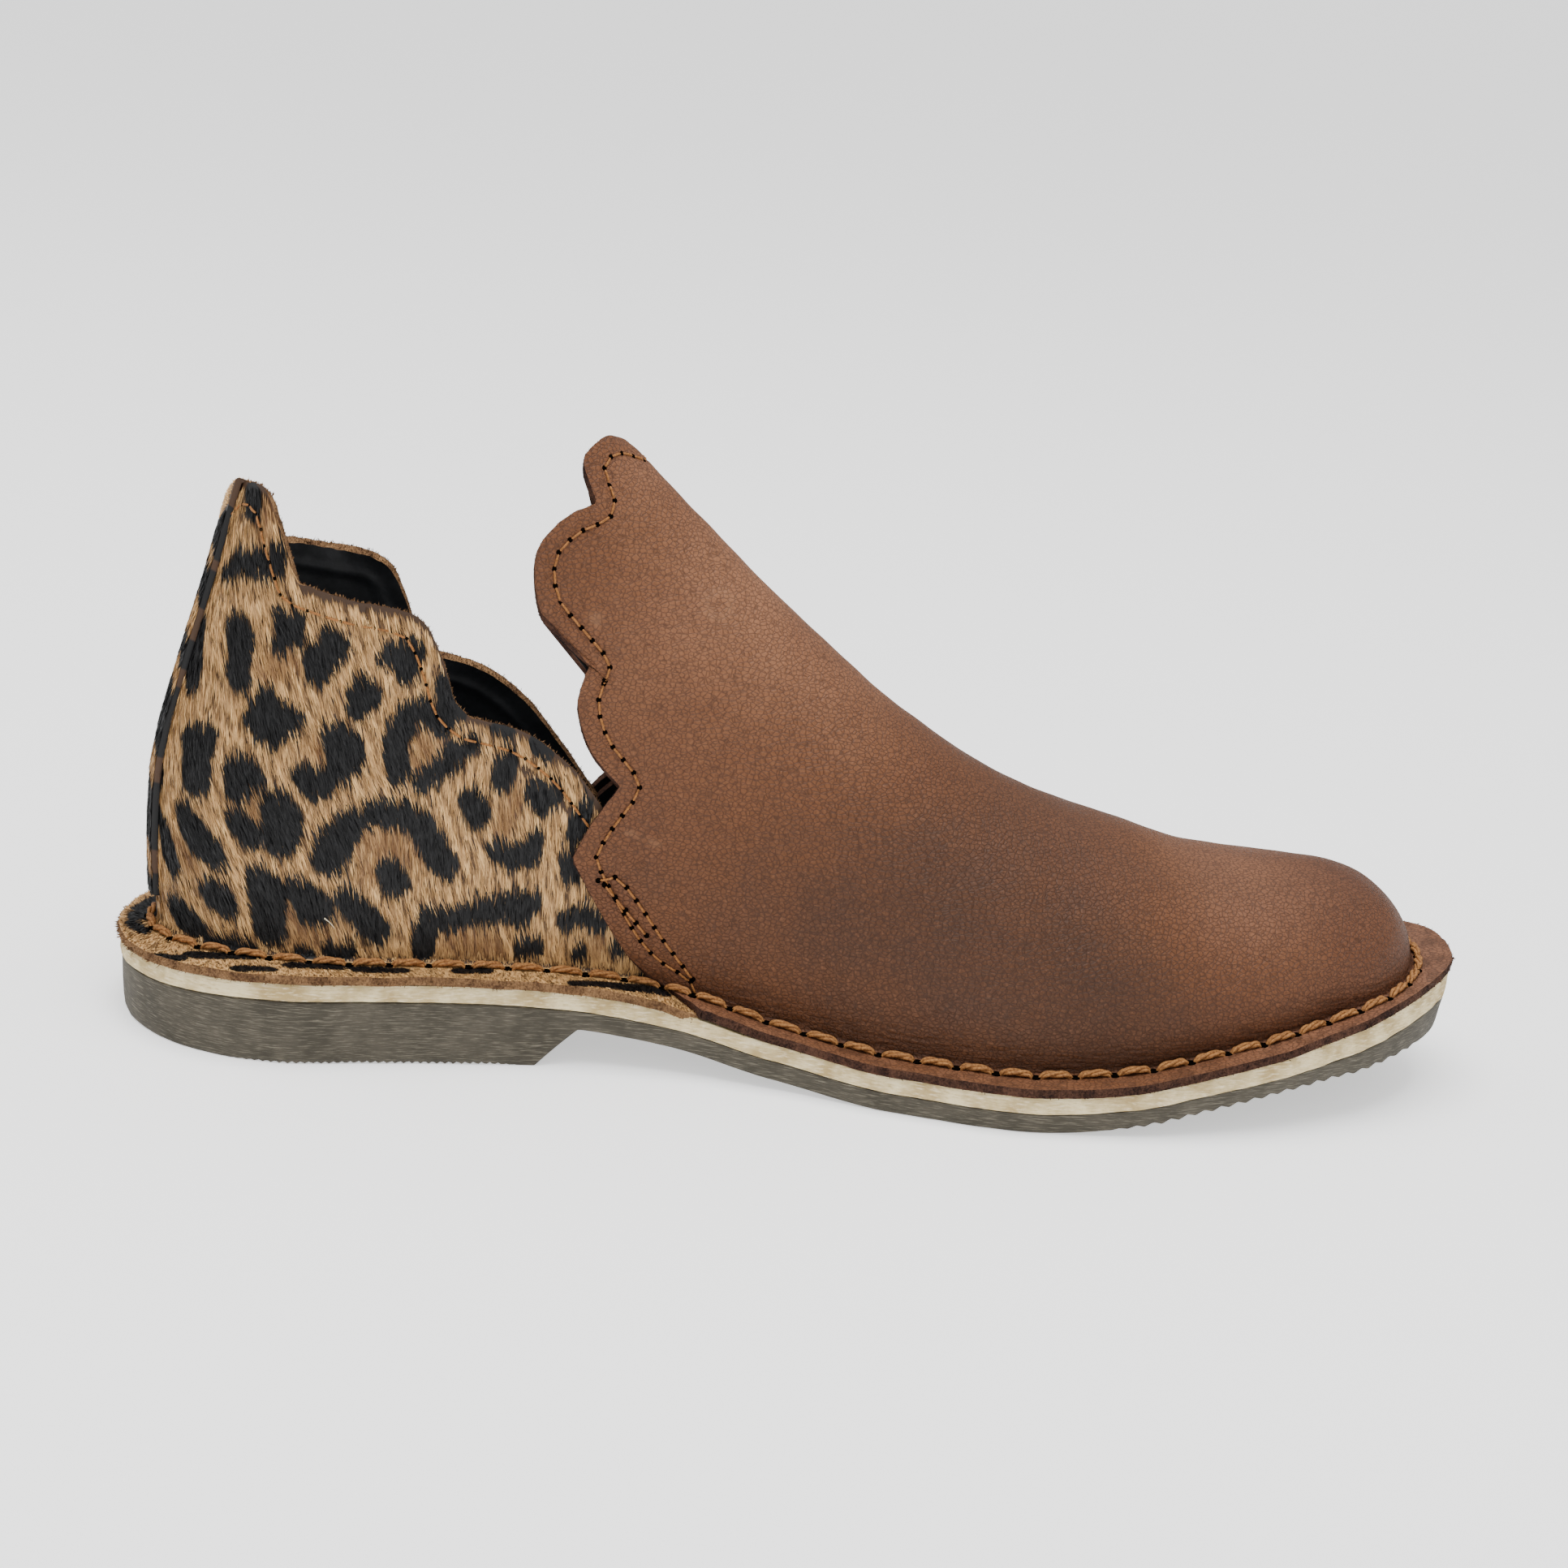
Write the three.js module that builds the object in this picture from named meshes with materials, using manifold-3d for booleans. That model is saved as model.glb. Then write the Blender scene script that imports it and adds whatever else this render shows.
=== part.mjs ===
// A left veldskoen: a low slip-on field shoe with a scalloped vamp, hide quarters and a stitchdown sole.
// X runs from heel to toe, +Z is up, the medial side is -Y, and the origin lies on the floor under the heel.
import * as THREE from "three";
import Module from "manifold-3d";
import { mergeVertices } from "three/addons/utils/BufferGeometryUtils.js";

const wasm = await Module();
wasm.setup();

// Driving sizes in millimetres
const LENGTH = 272;
const BALL_WIDTH = 99;
const HEEL_WIDTH = 69.2;
const THROAT_HEIGHT = 101;
const BACK_HEIGHT = 91;
const HEEL_RAISE = 9;
const TOE_SPRING = 18;
const TREAD_THICKNESS = 5.1;
const MIDSOLE_THICKNESS = 2.4;
const FLANGE_THICKNESS = 2.2;
const INSOLE_THICKNESS = 2.4;
const UPPER_WALL = 1.8;
const VAMP_WALL = 1.8;
const STRIP_WALL = 1.2;
const STRIP_WIDTH = 14;
const FLANGE_MARGIN = 8.6;
const TOE_MARGIN = 11.3;
const HEEL_MARGIN = 6.3;
const BACK_LEAN = 13;
const HEEL_BREAST = 84;
const BREAST_SLANT = 8;
const EDGE_DRAFT = 1.1;
const SOLE_INSET = 0.7;
const NOTCH_WIDTH = 20.6;
const NOTCH_DEPTH = 6.6;
const COLLAR_SKEW = 0.16;
const CLEARANCE = 0.3;

// The heel stands on the floor half way to its breast. Lengths below count from the back of the sole.
const REST_AT = HEEL_BREAST / 2;

// Resolution of the faceted surfaces
const HEEL_STEPS = 11;
const BODY_STEPS = 20;
const TOE_STEPS = 7;
const SECTION_STEPS = 13;
const PLAN_STEPS = 54;
const CURVE_STEPS = 6;

// Where the round heel ends and the round toe begins, as shares of the length
const HEEL_ROUND = 0.165;
const TOE_ROUND = 0.886;
const PLAN_HEEL_ROUND = 0.14;
const PLAN_TOE_ROUND = 0.9;

// Plan of the sole and its lift. at: share of length. spread: share of the step from heel width to ball
// width. swing: centre line, share of ball width. heel and toe: shares of the heel raise and toe spring.
const PLAN = [
  { at: 0.0, spread: 0.0, swing: 0.0, heel: 0.79, toe: 0 },
  { at: 0.13, spread: 0.0, swing: -0.004, heel: 1, toe: 0 },
  { at: 0.184, spread: -0.03, swing: 0.013, heel: 1, toe: 0 },
  { at: 0.257, spread: -0.08, swing: 0.032, heel: 0.99, toe: 0 },
  { at: 0.331, spread: -0.08, swing: 0.052, heel: 0.88, toe: 0 },
  { at: 0.404, spread: 0.05, swing: 0.058, heel: 0.65, toe: 0 },
  { at: 0.478, spread: 0.36, swing: 0.053, heel: 0.24, toe: 0 },
  { at: 0.566, spread: 0.73, swing: 0.018, heel: 0, toe: 0 },
  { at: 0.662, spread: 0.99, swing: -0.007, heel: 0, toe: 0 },
  { at: 0.735, spread: 0.94, swing: -0.011, heel: 0, toe: 0.1 },
  { at: 0.79, spread: 0.765, swing: -0.014, heel: 0, toe: 0.28 },
  { at: 0.846, spread: 0.46, swing: -0.015, heel: 0, toe: 0.46 },
  { at: 0.901, spread: -0.03, swing: -0.014, heel: 0, toe: 0.655 },
  { at: 0.949, spread: -0.36, swing: -0.005, heel: 0, toe: 0.85 },
  { at: 1.0, spread: -0.61, swing: 0.02, heel: 0, toe: 1 },
];

// Sections of the last. at: share of length. margin: share of the flange margin. ridge: height over the
// flange, share of throat height. crest: ridge line, share of ball width. rise and side: how full the
// section is towards the ridge and the side. tuck: how far the foot of the wall draws in, share of width.
const SECTIONS = [
  { at: 0.165, margin: 0.76, ridge: 1.43, crest: 0.0, rise: 2.6, side: 2.0, tuck: 0.07 },
  { at: 0.257, margin: 0.78, ridge: 1.25, crest: 0.0, rise: 2.5, side: 2.0, tuck: 0.06 },
  { at: 0.346, margin: 0.93, ridge: 1.002, crest: -0.005, rise: 2.2, side: 1.9, tuck: 0.05 },
  { at: 0.404, margin: 1.0, ridge: 0.874, crest: -0.01, rise: 2.0, side: 1.85, tuck: 0.05 },
  { at: 0.478, margin: 1.0, ridge: 0.737, crest: -0.02, rise: 2.0, side: 1.85, tuck: 0.04 },
  { at: 0.551, margin: 1.0, ridge: 0.603, crest: -0.035, rise: 2.0, side: 1.9, tuck: 0.04 },
  { at: 0.625, margin: 1.0, ridge: 0.485, crest: -0.05, rise: 2.05, side: 1.95, tuck: 0.04 },
  { at: 0.68, margin: 1.0, ridge: 0.423, crest: -0.055, rise: 2.1, side: 2.0, tuck: 0.04 },
  { at: 0.735, margin: 1.0, ridge: 0.365, crest: -0.055, rise: 2.15, side: 2.05, tuck: 0.04 },
  { at: 0.79, margin: 1.0, ridge: 0.291, crest: -0.05, rise: 2.2, side: 2.1, tuck: 0.04 },
  { at: 0.846, margin: 1.0, ridge: 0.245, crest: -0.04, rise: 2.25, side: 2.1, tuck: 0.04 },
  { at: 0.886, margin: 1.0, ridge: 0.214, crest: -0.028, rise: 2.25, side: 2.1, tuck: 0.04 },
  { at: 1.0, margin: 1.0, ridge: 0.14, crest: 0.015, rise: 2.0, side: 2.0, tuck: 0.0 },
];

// The back line. up: share of back height over the heel's flange. lean: share of the back lean.
const BACK_LINE = [
  { up: -0.3, lean: 0.15 },
  { up: 0.02, lean: 0.085 },
  { up: 0.13, lean: 0.023 },
  { up: 0.24, lean: 0.0 },
  { up: 0.33, lean: 0.015 },
  { up: 0.42, lean: 0.1 },
  { up: 0.6, lean: 0.39 },
  { up: 0.79, lean: 0.72 },
  { up: 0.97, lean: 1.0 },
  { up: 1.62, lean: 2.17 },
];

// The collar of the quarters from the back seam to under the vamp, a spline for each run.
// at: share of length. up: share of back height over the heel's flange.
const COLLAR = [
  { run: "peak", at: 0.052, up: 0.945 },
  { run: "peak", at: 0.077, up: 0.997 },
  { run: "peak", at: 0.088, up: 0.98 },
  { run: "peak", at: 0.101, up: 0.87 },
  { run: "step", at: 0.107, up: 0.82 },
  { run: "step", at: 0.142, up: 0.797 },
  { run: "step", at: 0.19, up: 0.768 },
  { run: "step", at: 0.209, up: 0.686 },
  { run: "step", at: 0.22, up: 0.59 },
  { run: "front", at: 0.231, up: 0.557 },
  { run: "front", at: 0.27, up: 0.53 },
  { run: "front", at: 0.304, up: 0.464 },
  { run: "front", at: 0.33, up: 0.376 },
  { run: "front", at: 0.368, up: 0.23 },
];

// The scalloped edge of the vamp from under the ridge to the flange, a spline for each run.
// at: share of length. up: share of throat height over the heel's flange.
const VAMP_EDGE = [
  { run: "top", at: 0.32, up: 1.12 },
  { run: "top", at: 0.3155, up: 1.035 },
  { run: "top", at: 0.3145, up: 0.993 },
  { run: "top", at: 0.32, up: 0.95 },
  { run: "top", at: 0.3265, up: 0.915 },
  { run: "upper", at: 0.3265, up: 0.915 },
  { run: "upper", at: 0.303, up: 0.888 },
  { run: "upper", at: 0.2845, up: 0.82 },
  { run: "upper", at: 0.291, up: 0.712 },
  { run: "upper", at: 0.313, up: 0.655 },
  { run: "upper", at: 0.3285, up: 0.615 },
  { run: "middle", at: 0.3285, up: 0.615 },
  { run: "middle", at: 0.3215, up: 0.54 },
  { run: "middle", at: 0.3325, up: 0.45 },
  { run: "middle", at: 0.3555, up: 0.38 },
  { run: "wing", at: 0.3555, up: 0.38 },
  { run: "wing", at: 0.337, up: 0.3 },
  { run: "wing", at: 0.3255, up: 0.23 },
  { run: "foot", at: 0.3255, up: 0.23 },
  { run: "foot", at: 0.348, up: 0.125 },
  { run: "foot", at: 0.371, up: 0.035 },
  { run: "foot", at: 0.41, up: -0.015 },
];

// The lateral half of that edge, from the dip on the ridge to the wing: it lies lower and further forward.
const LATERAL_EDGE = [
  { run: "top", at: 0.3235, up: 0.983 },
  { run: "top", at: 0.3338, up: 0.919 },
  { run: "top", at: 0.3327, up: 0.869 },
  { run: "top", at: 0.3434, up: 0.808 },
  { run: "upper", at: 0.3434, up: 0.808 },
  { run: "upper", at: 0.318, up: 0.76 },
  { run: "upper", at: 0.3051, up: 0.676 },
  { run: "upper", at: 0.3125, up: 0.577 },
  { run: "upper", at: 0.3327, up: 0.513 },
  { run: "upper", at: 0.3467, up: 0.476 },
  { run: "middle", at: 0.3467, up: 0.476 },
  { run: "middle", at: 0.3412, up: 0.424 },
  { run: "middle", at: 0.3456, up: 0.359 },
  { run: "middle", at: 0.3632, up: 0.283 },
  { run: "wing", at: 0.3632, up: 0.283 },
  { run: "wing", at: 0.3456, up: 0.231 },
  { run: "wing", at: 0.3349, up: 0.181 },
];

// The dip of the vamp's top edge on the ridge. side: share of half the notch width. along: share of depth.
const NOTCH = [
  { side: 0.0, along: 0.0 },
  { side: 0.22, along: 0.4 },
  { side: 0.48, along: 0.75 },
  { side: 0.76, along: 0.95 },
  { side: 1.0, along: 1.0 },
];
const NOTCH_AT = 0.3485;
const LATERAL_DIP = 0.24;             // share of the dip's depth that its edge regains on the lateral side
const FLANGE_SEAM_AT = 0.412;

const MATERIALS = {
  rubber: { color: 0x6e665a, roughness: 0.85, metalness: 0 },
  fibreboard: { color: 0xcdbfa0, roughness: 0.9, metalness: 0 },
  insoleLeather: { color: 0x2a2a2c, roughness: 0.8, metalness: 0 },
  hairOnHide: { color: 0xb8935f, roughness: 0.75, metalness: 0 },
  vampLeather: { color: 0x875a3f, roughness: 0.55, metalness: 0 },
  stripHide: { color: 0x4a3b2c, roughness: 0.75, metalness: 0 },
};

// Monotone cubic through one column of a table.
function smooth(rows, by, column, value) {
  const last = rows.length - 1;
  const place = Math.min(Math.max(value, rows[0][by]), rows[last][by]);
  let k = 0;
  while (k < last - 1 && place >= rows[k + 1][by]) k += 1;
  const step = (i) => rows[i + 1][by] - rows[i][by];
  const slope = (i) => (rows[i + 1][column] - rows[i][column]) / step(i);
  const tangent = (i) => {
    if (i === 0) return slope(0);
    if (i === last) return slope(last - 1);
    const before = slope(i - 1);
    const after = slope(i);
    if (before * after <= 0) return 0;
    const near = 2 * step(i) + step(i - 1);
    const far = step(i) + 2 * step(i - 1);
    return (near + far) / (near / before + far / after);
  };
  const h = step(k);
  const t = (place - rows[k][by]) / h;
  const start = rows[k][column] * (2 * t ** 3 - 3 * t ** 2 + 1) + h * tangent(k) * (t ** 3 - 2 * t ** 2 + t);
  const end = rows[k + 1][column] * (3 * t ** 2 - 2 * t ** 3) + h * tangent(k + 1) * (t ** 3 - t ** 2);
  return start + end;
}

const plan = (column, x) => smooth(PLAN, "at", column, x / LENGTH);
const section = (column, x) => smooth(SECTIONS, "at", column, x / LENGTH);

// Levels of the sole stack at a place along the shoe.
function flangeBottom(x) {
  const lift = plan("heel", x) * HEEL_RAISE + plan("toe", x) * TOE_SPRING;
  return TREAD_THICKNESS + MIDSOLE_THICKNESS + lift;
}
const flangeTop = (x) => flangeBottom(x) + FLANGE_THICKNESS;
const HEEL_TOP = TREAD_THICKNESS + MIDSOLE_THICKNESS + HEEL_RAISE + FLANGE_THICKNESS;

function planHalf(x) {
  return (HEEL_WIDTH + (BALL_WIDTH - HEEL_WIDTH) * plan("spread", x)) / 2;
}

function backLine(z) {
  const up = (z - HEEL_TOP) / BACK_HEIGHT;
  return HEEL_MARGIN + smooth(BACK_LINE, "up", "lean", up) * BACK_LEAN;
}

function ridgeHeight(x) {
  return section("ridge", x) * THROAT_HEIGHT;
}

// A point of the last's surface. a runs from -1 at the back line over 0 where the round heel ends and 1
// where the round toe begins to 2 at the toe. b runs from 0 at the flange to 1 at the ridge. side is -1
// on the medial side and 1 on the lateral side. grow moves the surface outwards.
function lastPoint(a, b, side, grow) {
  const heelEnd = HEEL_ROUND * LENGTH;
  const toeStart = TOE_ROUND * LENGTH;
  const toeTip = LENGTH - TOE_MARGIN + grow;
  const turn = (Math.min(a, 0) + 1) * (Math.PI / 2);
  const toe = Math.sin(Math.max(a - 1, 0) * (Math.PI / 2));
  const body = heelEnd + Math.min(Math.max(a, 0), 1) * (toeStart - heelEnd);
  let x = a > 1 ? toeStart + (toeTip - toeStart) * toe : body;
  const at = Math.min(x, toeTip);
  const angle = b * (Math.PI / 2);
  const rise = Math.sin(angle) ** (2 / section("rise", at));
  const narrow = Math.max(Math.cos(angle), 0) ** (2 / section("side", at));
  const slant = (flangeTop(at + 1) + ridgeHeight(at + 1) - flangeTop(at - 1) - ridgeHeight(at - 1)) / 2;
  const stretch = Math.min(Math.hypot(1, slant), 2);
  const top = (ridgeHeight(at) + grow * stretch) * Math.sqrt(Math.max(1 - toe ** 2, 0));
  let z = flangeTop(x) + top * rise;
  if (a < 0) {
    for (let i = 0; i < 3; i += 1) {
      const back = backLine(z) - grow;
      x = back + (heelEnd - back) * (1 - Math.cos(turn));
      z = flangeTop(x) + top * rise;
    }
  }
  const belly = 0.28;
  const tuck = 1 - section("tuck", at) * Math.max(1 - rise / belly, 0) ** 2;
  const half = planHalf(at) - section("margin", at) * FLANGE_MARGIN + grow;
  const close = Math.sin(turn) * Math.sqrt(Math.max(1 - toe ** 4, 0));
  const foot = plan("swing", at) * BALL_WIDTH * Math.sin(turn);
  const centre = foot + (section("crest", at) * BALL_WIDTH - foot) * rise;
  return new THREE.Vector3(x, centre + side * half * narrow * tuck * close, z);
}

// Turns quads and triangles of points into one closed solid.
function closedSolid(triangles) {
  const positions = new Float32Array(triangles.length * 9);
  triangles.forEach((corners, i) => corners.forEach((p, j) => p.toArray(positions, i * 9 + j * 3)));
  const geometry = new THREE.BufferGeometry();
  geometry.setAttribute("position", new THREE.BufferAttribute(positions, 3));
  return toManifold(geometry);
}

function toManifold(source) {
  const bare = source.clone();
  bare.deleteAttribute("normal");
  bare.deleteAttribute("uv");
  const merged = mergeVertices(bare, 1e-4);
  const index = merged.index.array;
  const kept = [];
  for (let i = 0; i < index.length; i += 3) {
    const [p, q, r] = [index[i], index[i + 1], index[i + 2]];
    if (p !== q && q !== r && r !== p) kept.push(p, q, r);
  }
  const vertProperties = new Float32Array(merged.attributes.position.array);
  const mesh = new wasm.Mesh({ numProp: 3, vertProperties, triVerts: new Uint32Array(kept) });
  return new wasm.Manifold(mesh);
}

// Joins rings of as many points each into a skin. Both end rings are flat, so the skin is closed.
function loft(rings) {
  const triangles = [];
  for (let i = 0; i + 1 < rings.length; i += 1) {
    const count = rings[i].length;
    for (let j = 0; j < count; j += 1) {
      const k = (j + 1) % count;
      triangles.push([rings[i][j], rings[i + 1][j], rings[i + 1][k]]);
      triangles.push([rings[i][j], rings[i + 1][k], rings[i][k]]);
    }
  }
  return closedSolid(triangles);
}

function stations() {
  const list = [];
  for (let i = 0; i < HEEL_STEPS; i += 1) list.push(i / HEEL_STEPS - 1);
  for (let i = 0; i < BODY_STEPS; i += 1) list.push(i / BODY_STEPS);
  for (let i = 0; i <= TOE_STEPS; i += 1) list.push(1 + i / TOE_STEPS);
  return list;
}

// The whole last as a solid, grown outwards, with a straight skirt down to the given level.
function form(grow, bottom) {
  const rings = stations().map((a) => {
    const medial = [];
    const lateral = [];
    for (let j = 0; j <= SECTION_STEPS; j += 1) {
      medial.push(lastPoint(a, j / SECTION_STEPS, -1, grow));
      lateral.push(lastPoint(a, j / SECTION_STEPS, 1, grow));
    }
    const under = (p) => new THREE.Vector3(p.x, p.y, bottom(p.x));
    return [under(medial[0]), ...medial, ...lateral.slice(0, -1).reverse(), under(lateral[0])];
  });
  return loft(rings);
}

// The outline of a layer of the sole at one place, drawn in by an inset.
function layerEdge(share, inset) {
  const x = inset + share * (LENGTH - 2 * inset);
  const heelEnd = PLAN_HEEL_ROUND * LENGTH;
  const toeStart = PLAN_TOE_ROUND * LENGTH;
  const heel = Math.max(heelEnd - x, 0) / (heelEnd - inset);
  const toe = Math.max(x - toeStart, 0) / (LENGTH - inset - toeStart);
  const close = Math.sqrt(Math.max(1 - heel ** 2.2, 0)) * Math.sqrt(Math.max(1 - toe ** 2, 0));
  const half = (planHalf(x) - inset) * close;
  const centre = plan("swing", x) * BALL_WIDTH;
  return { x, medial: centre - half, lateral: centre + half };
}

// A layer of the sole between two levels, with its lower edge drawn in further by a draft.
function layer(inset, draft, top, bottom, extra = []) {
  const even = Array.from({ length: PLAN_STEPS + 1 }, (_, i) => (1 - Math.cos((Math.PI * i) / PLAN_STEPS)) / 2);
  const shares = [...even, ...extra.map((x) => (x - inset) / (LENGTH - 2 * inset))].sort((p, q) => p - q);
  const rings = shares.map((share) => {
    const upper = layerEdge(share, inset);
    const lower = layerEdge(share, inset + draft);
    return [
      new THREE.Vector3(lower.x, lower.medial, bottom(lower.x)),
      new THREE.Vector3(upper.x, upper.medial, top(upper.x)),
      new THREE.Vector3(upper.x, upper.lateral, top(upper.x)),
      new THREE.Vector3(lower.x, lower.lateral, bottom(lower.x)),
    ];
  });
  return loft(rings);
}

// Outlines as splines, one for each run of a table.
function runs(rows, place) {
  const names = [...new Set(rows.map((row) => row.run))];
  return names.flatMap((name) => {
    const points = rows.filter((row) => row.run === name).map(place);
    return new THREE.SplineCurve(points).getPoints(CURVE_STEPS * (points.length - 1));
  });
}

// A prism across the shoe from an outline seen from the side. skew moves it back towards +Y.
function acrossPrism(outline, skew = 0) {
  const depth = 2 * BALL_WIDTH;
  const geometry = new THREE.ExtrudeGeometry(new THREE.Shape(outline), { depth, bevelEnabled: false });
  geometry.rotateX(Math.PI / 2);
  geometry.translate(0, depth / 2, 0);
  geometry.applyMatrix4(new THREE.Matrix4().makeShear(0, 0, -skew, 0, 0, 0));
  return toManifold(geometry);
}

const atBack = (row) => new THREE.Vector2(row.at * LENGTH, HEEL_TOP + row.up * BACK_HEIGHT);
const atThroat = (row) => new THREE.Vector2(row.at * LENGTH, HEEL_TOP + row.up * THROAT_HEIGHT);
const point = (x, y) => new THREE.Vector2(x, y);
const FAR = 2 * LENGTH;

// What is kept of the last behind the collar line. The foot of the quarters runs on under the vamp.
function quarterRegion() {
  const collar = runs(COLLAR, atBack);
  const first = collar[0];
  const last = collar[collar.length - 1];
  const foot = LENGTH / 2;
  const below = [point(-LENGTH, -LENGTH), point(foot, -LENGTH), point(foot, last.y)];
  return acrossPrism([...below, ...collar.reverse(), point(-LENGTH, first.y)], COLLAR_SKEW);
}

// What is kept of the last in front of the scalloped edge, with the dip on the ridge taken out.
function vampRegion(seamGap) {
  const edge = runs(VAMP_EDGE, atThroat);
  const foot = FLANGE_SEAM_AT * LENGTH + seamGap;
  const front = [point(foot, edge[edge.length - 1].y), point(foot, -LENGTH), point(FAR, -LENGTH), point(FAR, FAR)];
  const side = acrossPrism([...edge, ...front]);
  return side.subtract(lateralCut()).subtract(ridgeNotch());
}

// What the lateral half of the vamp lacks behind its own edge.
function lateralCut() {
  const edge = runs(LATERAL_EDGE, atThroat);
  const behind = [point(0, edge[edge.length - 1].y), point(0, edge[0].y)];
  const half = box([FAR, BALL_WIDTH, FAR], [0, BALL_WIDTH / 2, 0]);
  return acrossPrism([...edge, ...behind]).intersect(half);
}

function ridgeNotch() {
  const x = NOTCH_AT * LENGTH;
  const level = (place) => flangeTop(place) + ridgeHeight(place);
  const along = new THREE.Vector3(-1, 0, level(x - 1) - level(x)).normalize();
  const across = new THREE.Vector3(0, 1, 0);
  const out = new THREE.Vector3().crossVectors(across, along);
  const half = NOTCH.map((row) => point((row.side * NOTCH_WIDTH) / 2, row.along * NOTCH_DEPTH));
  const curve = new THREE.SplineCurve(half).getPoints(CURVE_STEPS * 2);
  const medial = curve.slice(1).map((p) => point(-p.x, p.y)).reverse();
  const lateral = curve.map((p) => point(p.x, p.y * LATERAL_DIP));
  const reach = BALL_WIDTH / 2;
  const ends = [point(reach, NOTCH_DEPTH * LATERAL_DIP), point(reach, reach), point(-reach, reach)];
  const outline = [point(-reach, NOTCH_DEPTH), ...medial, ...lateral, ...ends];
  const depth = BALL_WIDTH / 2;
  const geometry = new THREE.ExtrudeGeometry(new THREE.Shape(outline), { depth, bevelEnabled: false });
  geometry.translate(0, 0, -depth / 2);
  const start = new THREE.Vector3(x, section("crest", x) * BALL_WIDTH, level(x) + VAMP_WALL);
  geometry.applyMatrix4(new THREE.Matrix4().makeBasis(across, along, out).setPosition(start));
  return toManifold(geometry);
}

function box(size, centre) {
  return toManifold(new THREE.BoxGeometry(...size).translate(...centre));
}

// The flange is one flat piece round the shoe: hide behind the seam, vamp leather in front of it.
const flangePlate = () => layer(0, 0, flangeTop, (x) => flangeBottom(x) + CLEARANCE);
const footLevel = (x) => flangeBottom(x) + 2 * CLEARANCE;
const wellBelow = () => -LENGTH / 10;

function rearHalf() {
  return box([FAR, FAR, FAR], [FLANGE_SEAM_AT * LENGTH - FAR / 2, 0, 0]);
}

function upper() {
  const flange = flangePlate().intersect(rearHalf());
  const wall = form(0, footLevel).intersect(quarterRegion().add(vampRegion(0)));
  return wall.add(flange).subtract(form(-UPPER_WALL, wellBelow));
}

function vamp() {
  const hollow = form(CLEARANCE, wellBelow);
  const outer = form(CLEARANCE + VAMP_WALL, footLevel).add(flangePlate());
  return outer.subtract(hollow).intersect(vampRegion(CLEARANCE));
}

function backStrip() {
  const band = box([HEEL_ROUND * LENGTH, STRIP_WIDTH, FAR], [0, 0, 0]);
  const sheet = form(CLEARANCE + STRIP_WALL, footLevel).subtract(form(CLEARANCE, wellBelow));
  const under = layer(0, 0, (x) => flangeTop(x) + CLEARANCE, wellBelow);
  return sheet.intersect(band).intersect(quarterRegion()).subtract(under);
}

function insole() {
  const fit = -UPPER_WALL - CLEARANCE;
  const rings = stations().map((a) => {
    const m = lastPoint(a, 0, -1, fit);
    const l = lastPoint(a, 0, 1, fit);
    const low = flangeBottom(m.x) + CLEARANCE;
    const high = low + INSOLE_THICKNESS;
    return [[m, low], [m, high], [l, high], [l, low]].map(([p, z]) => new THREE.Vector3(p.x, p.y, z));
  });
  return loft(rings);
}

function midsole() {
  return layer(SOLE_INSET / 2, 0, flangeBottom, (x) => flangeBottom(x) - MIDSOLE_THICKNESS);
}

// The outsole with its moulded heel block: flat under the heel, then the breast and the thin waist.
function outsole() {
  const tread = (x) => Math.max(flangeBottom(x) - MIDSOLE_THICKNESS - TREAD_THICKNESS, 0);
  const breastTop = HEEL_BREAST + BREAST_SLANT;
  const bottom = (x) => {
    if (x <= HEEL_BREAST) return 0;
    if (x >= breastTop) return tread(x);
    return (tread(breastTop) * (x - HEEL_BREAST)) / BREAST_SLANT;
  };
  const top = (x) => flangeBottom(x) - MIDSOLE_THICKNESS - CLEARANCE;
  return layer(SOLE_INSET, EDGE_DRAFT, top, bottom, [HEEL_BREAST, breastTop]);
}

function toMesh(name, solid, finish) {
  const { vertProperties, triVerts } = solid.getMesh();
  const geometry = new THREE.BufferGeometry();
  geometry.setAttribute("position", new THREE.BufferAttribute(new Float32Array(vertProperties), 3));
  geometry.setIndex(new THREE.BufferAttribute(new Uint32Array(triVerts), 1));
  const flat = geometry.toNonIndexed();
  flat.computeVertexNormals();
  const mesh = new THREE.Mesh(flat, new THREE.MeshStandardMaterial(MATERIALS[finish]));
  mesh.name = name;
  mesh.position.x = -REST_AT;
  return mesh;
}

const shoe = new THREE.Group();
shoe.name = "veldskoen_left";
shoe.add(
  toMesh("outsole", outsole(), "rubber"),
  toMesh("midsole", midsole(), "fibreboard"),
  toMesh("insole", insole(), "insoleLeather"),
  toMesh("upper", upper(), "hairOnHide"),
  toMesh("vamp", vamp(), "vampLeather"),
  toMesh("back_strip", backStrip(), "stripHide"),
);

export default shoe;
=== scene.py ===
"""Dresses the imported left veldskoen: leather, spotted hide, sole layers, threads, floor, light and camera.

Shapes are worked out in the shoe's own millimetres, with X from the back of the sole to the toe, Z up from
the floor and the medial side at -Y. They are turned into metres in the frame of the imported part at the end.
"""

import logging
import math
from collections.abc import Callable
from dataclasses import dataclass, field
from enum import Enum

import bmesh
import bpy
import numpy as np
from mathutils import Matrix, Vector


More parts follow.
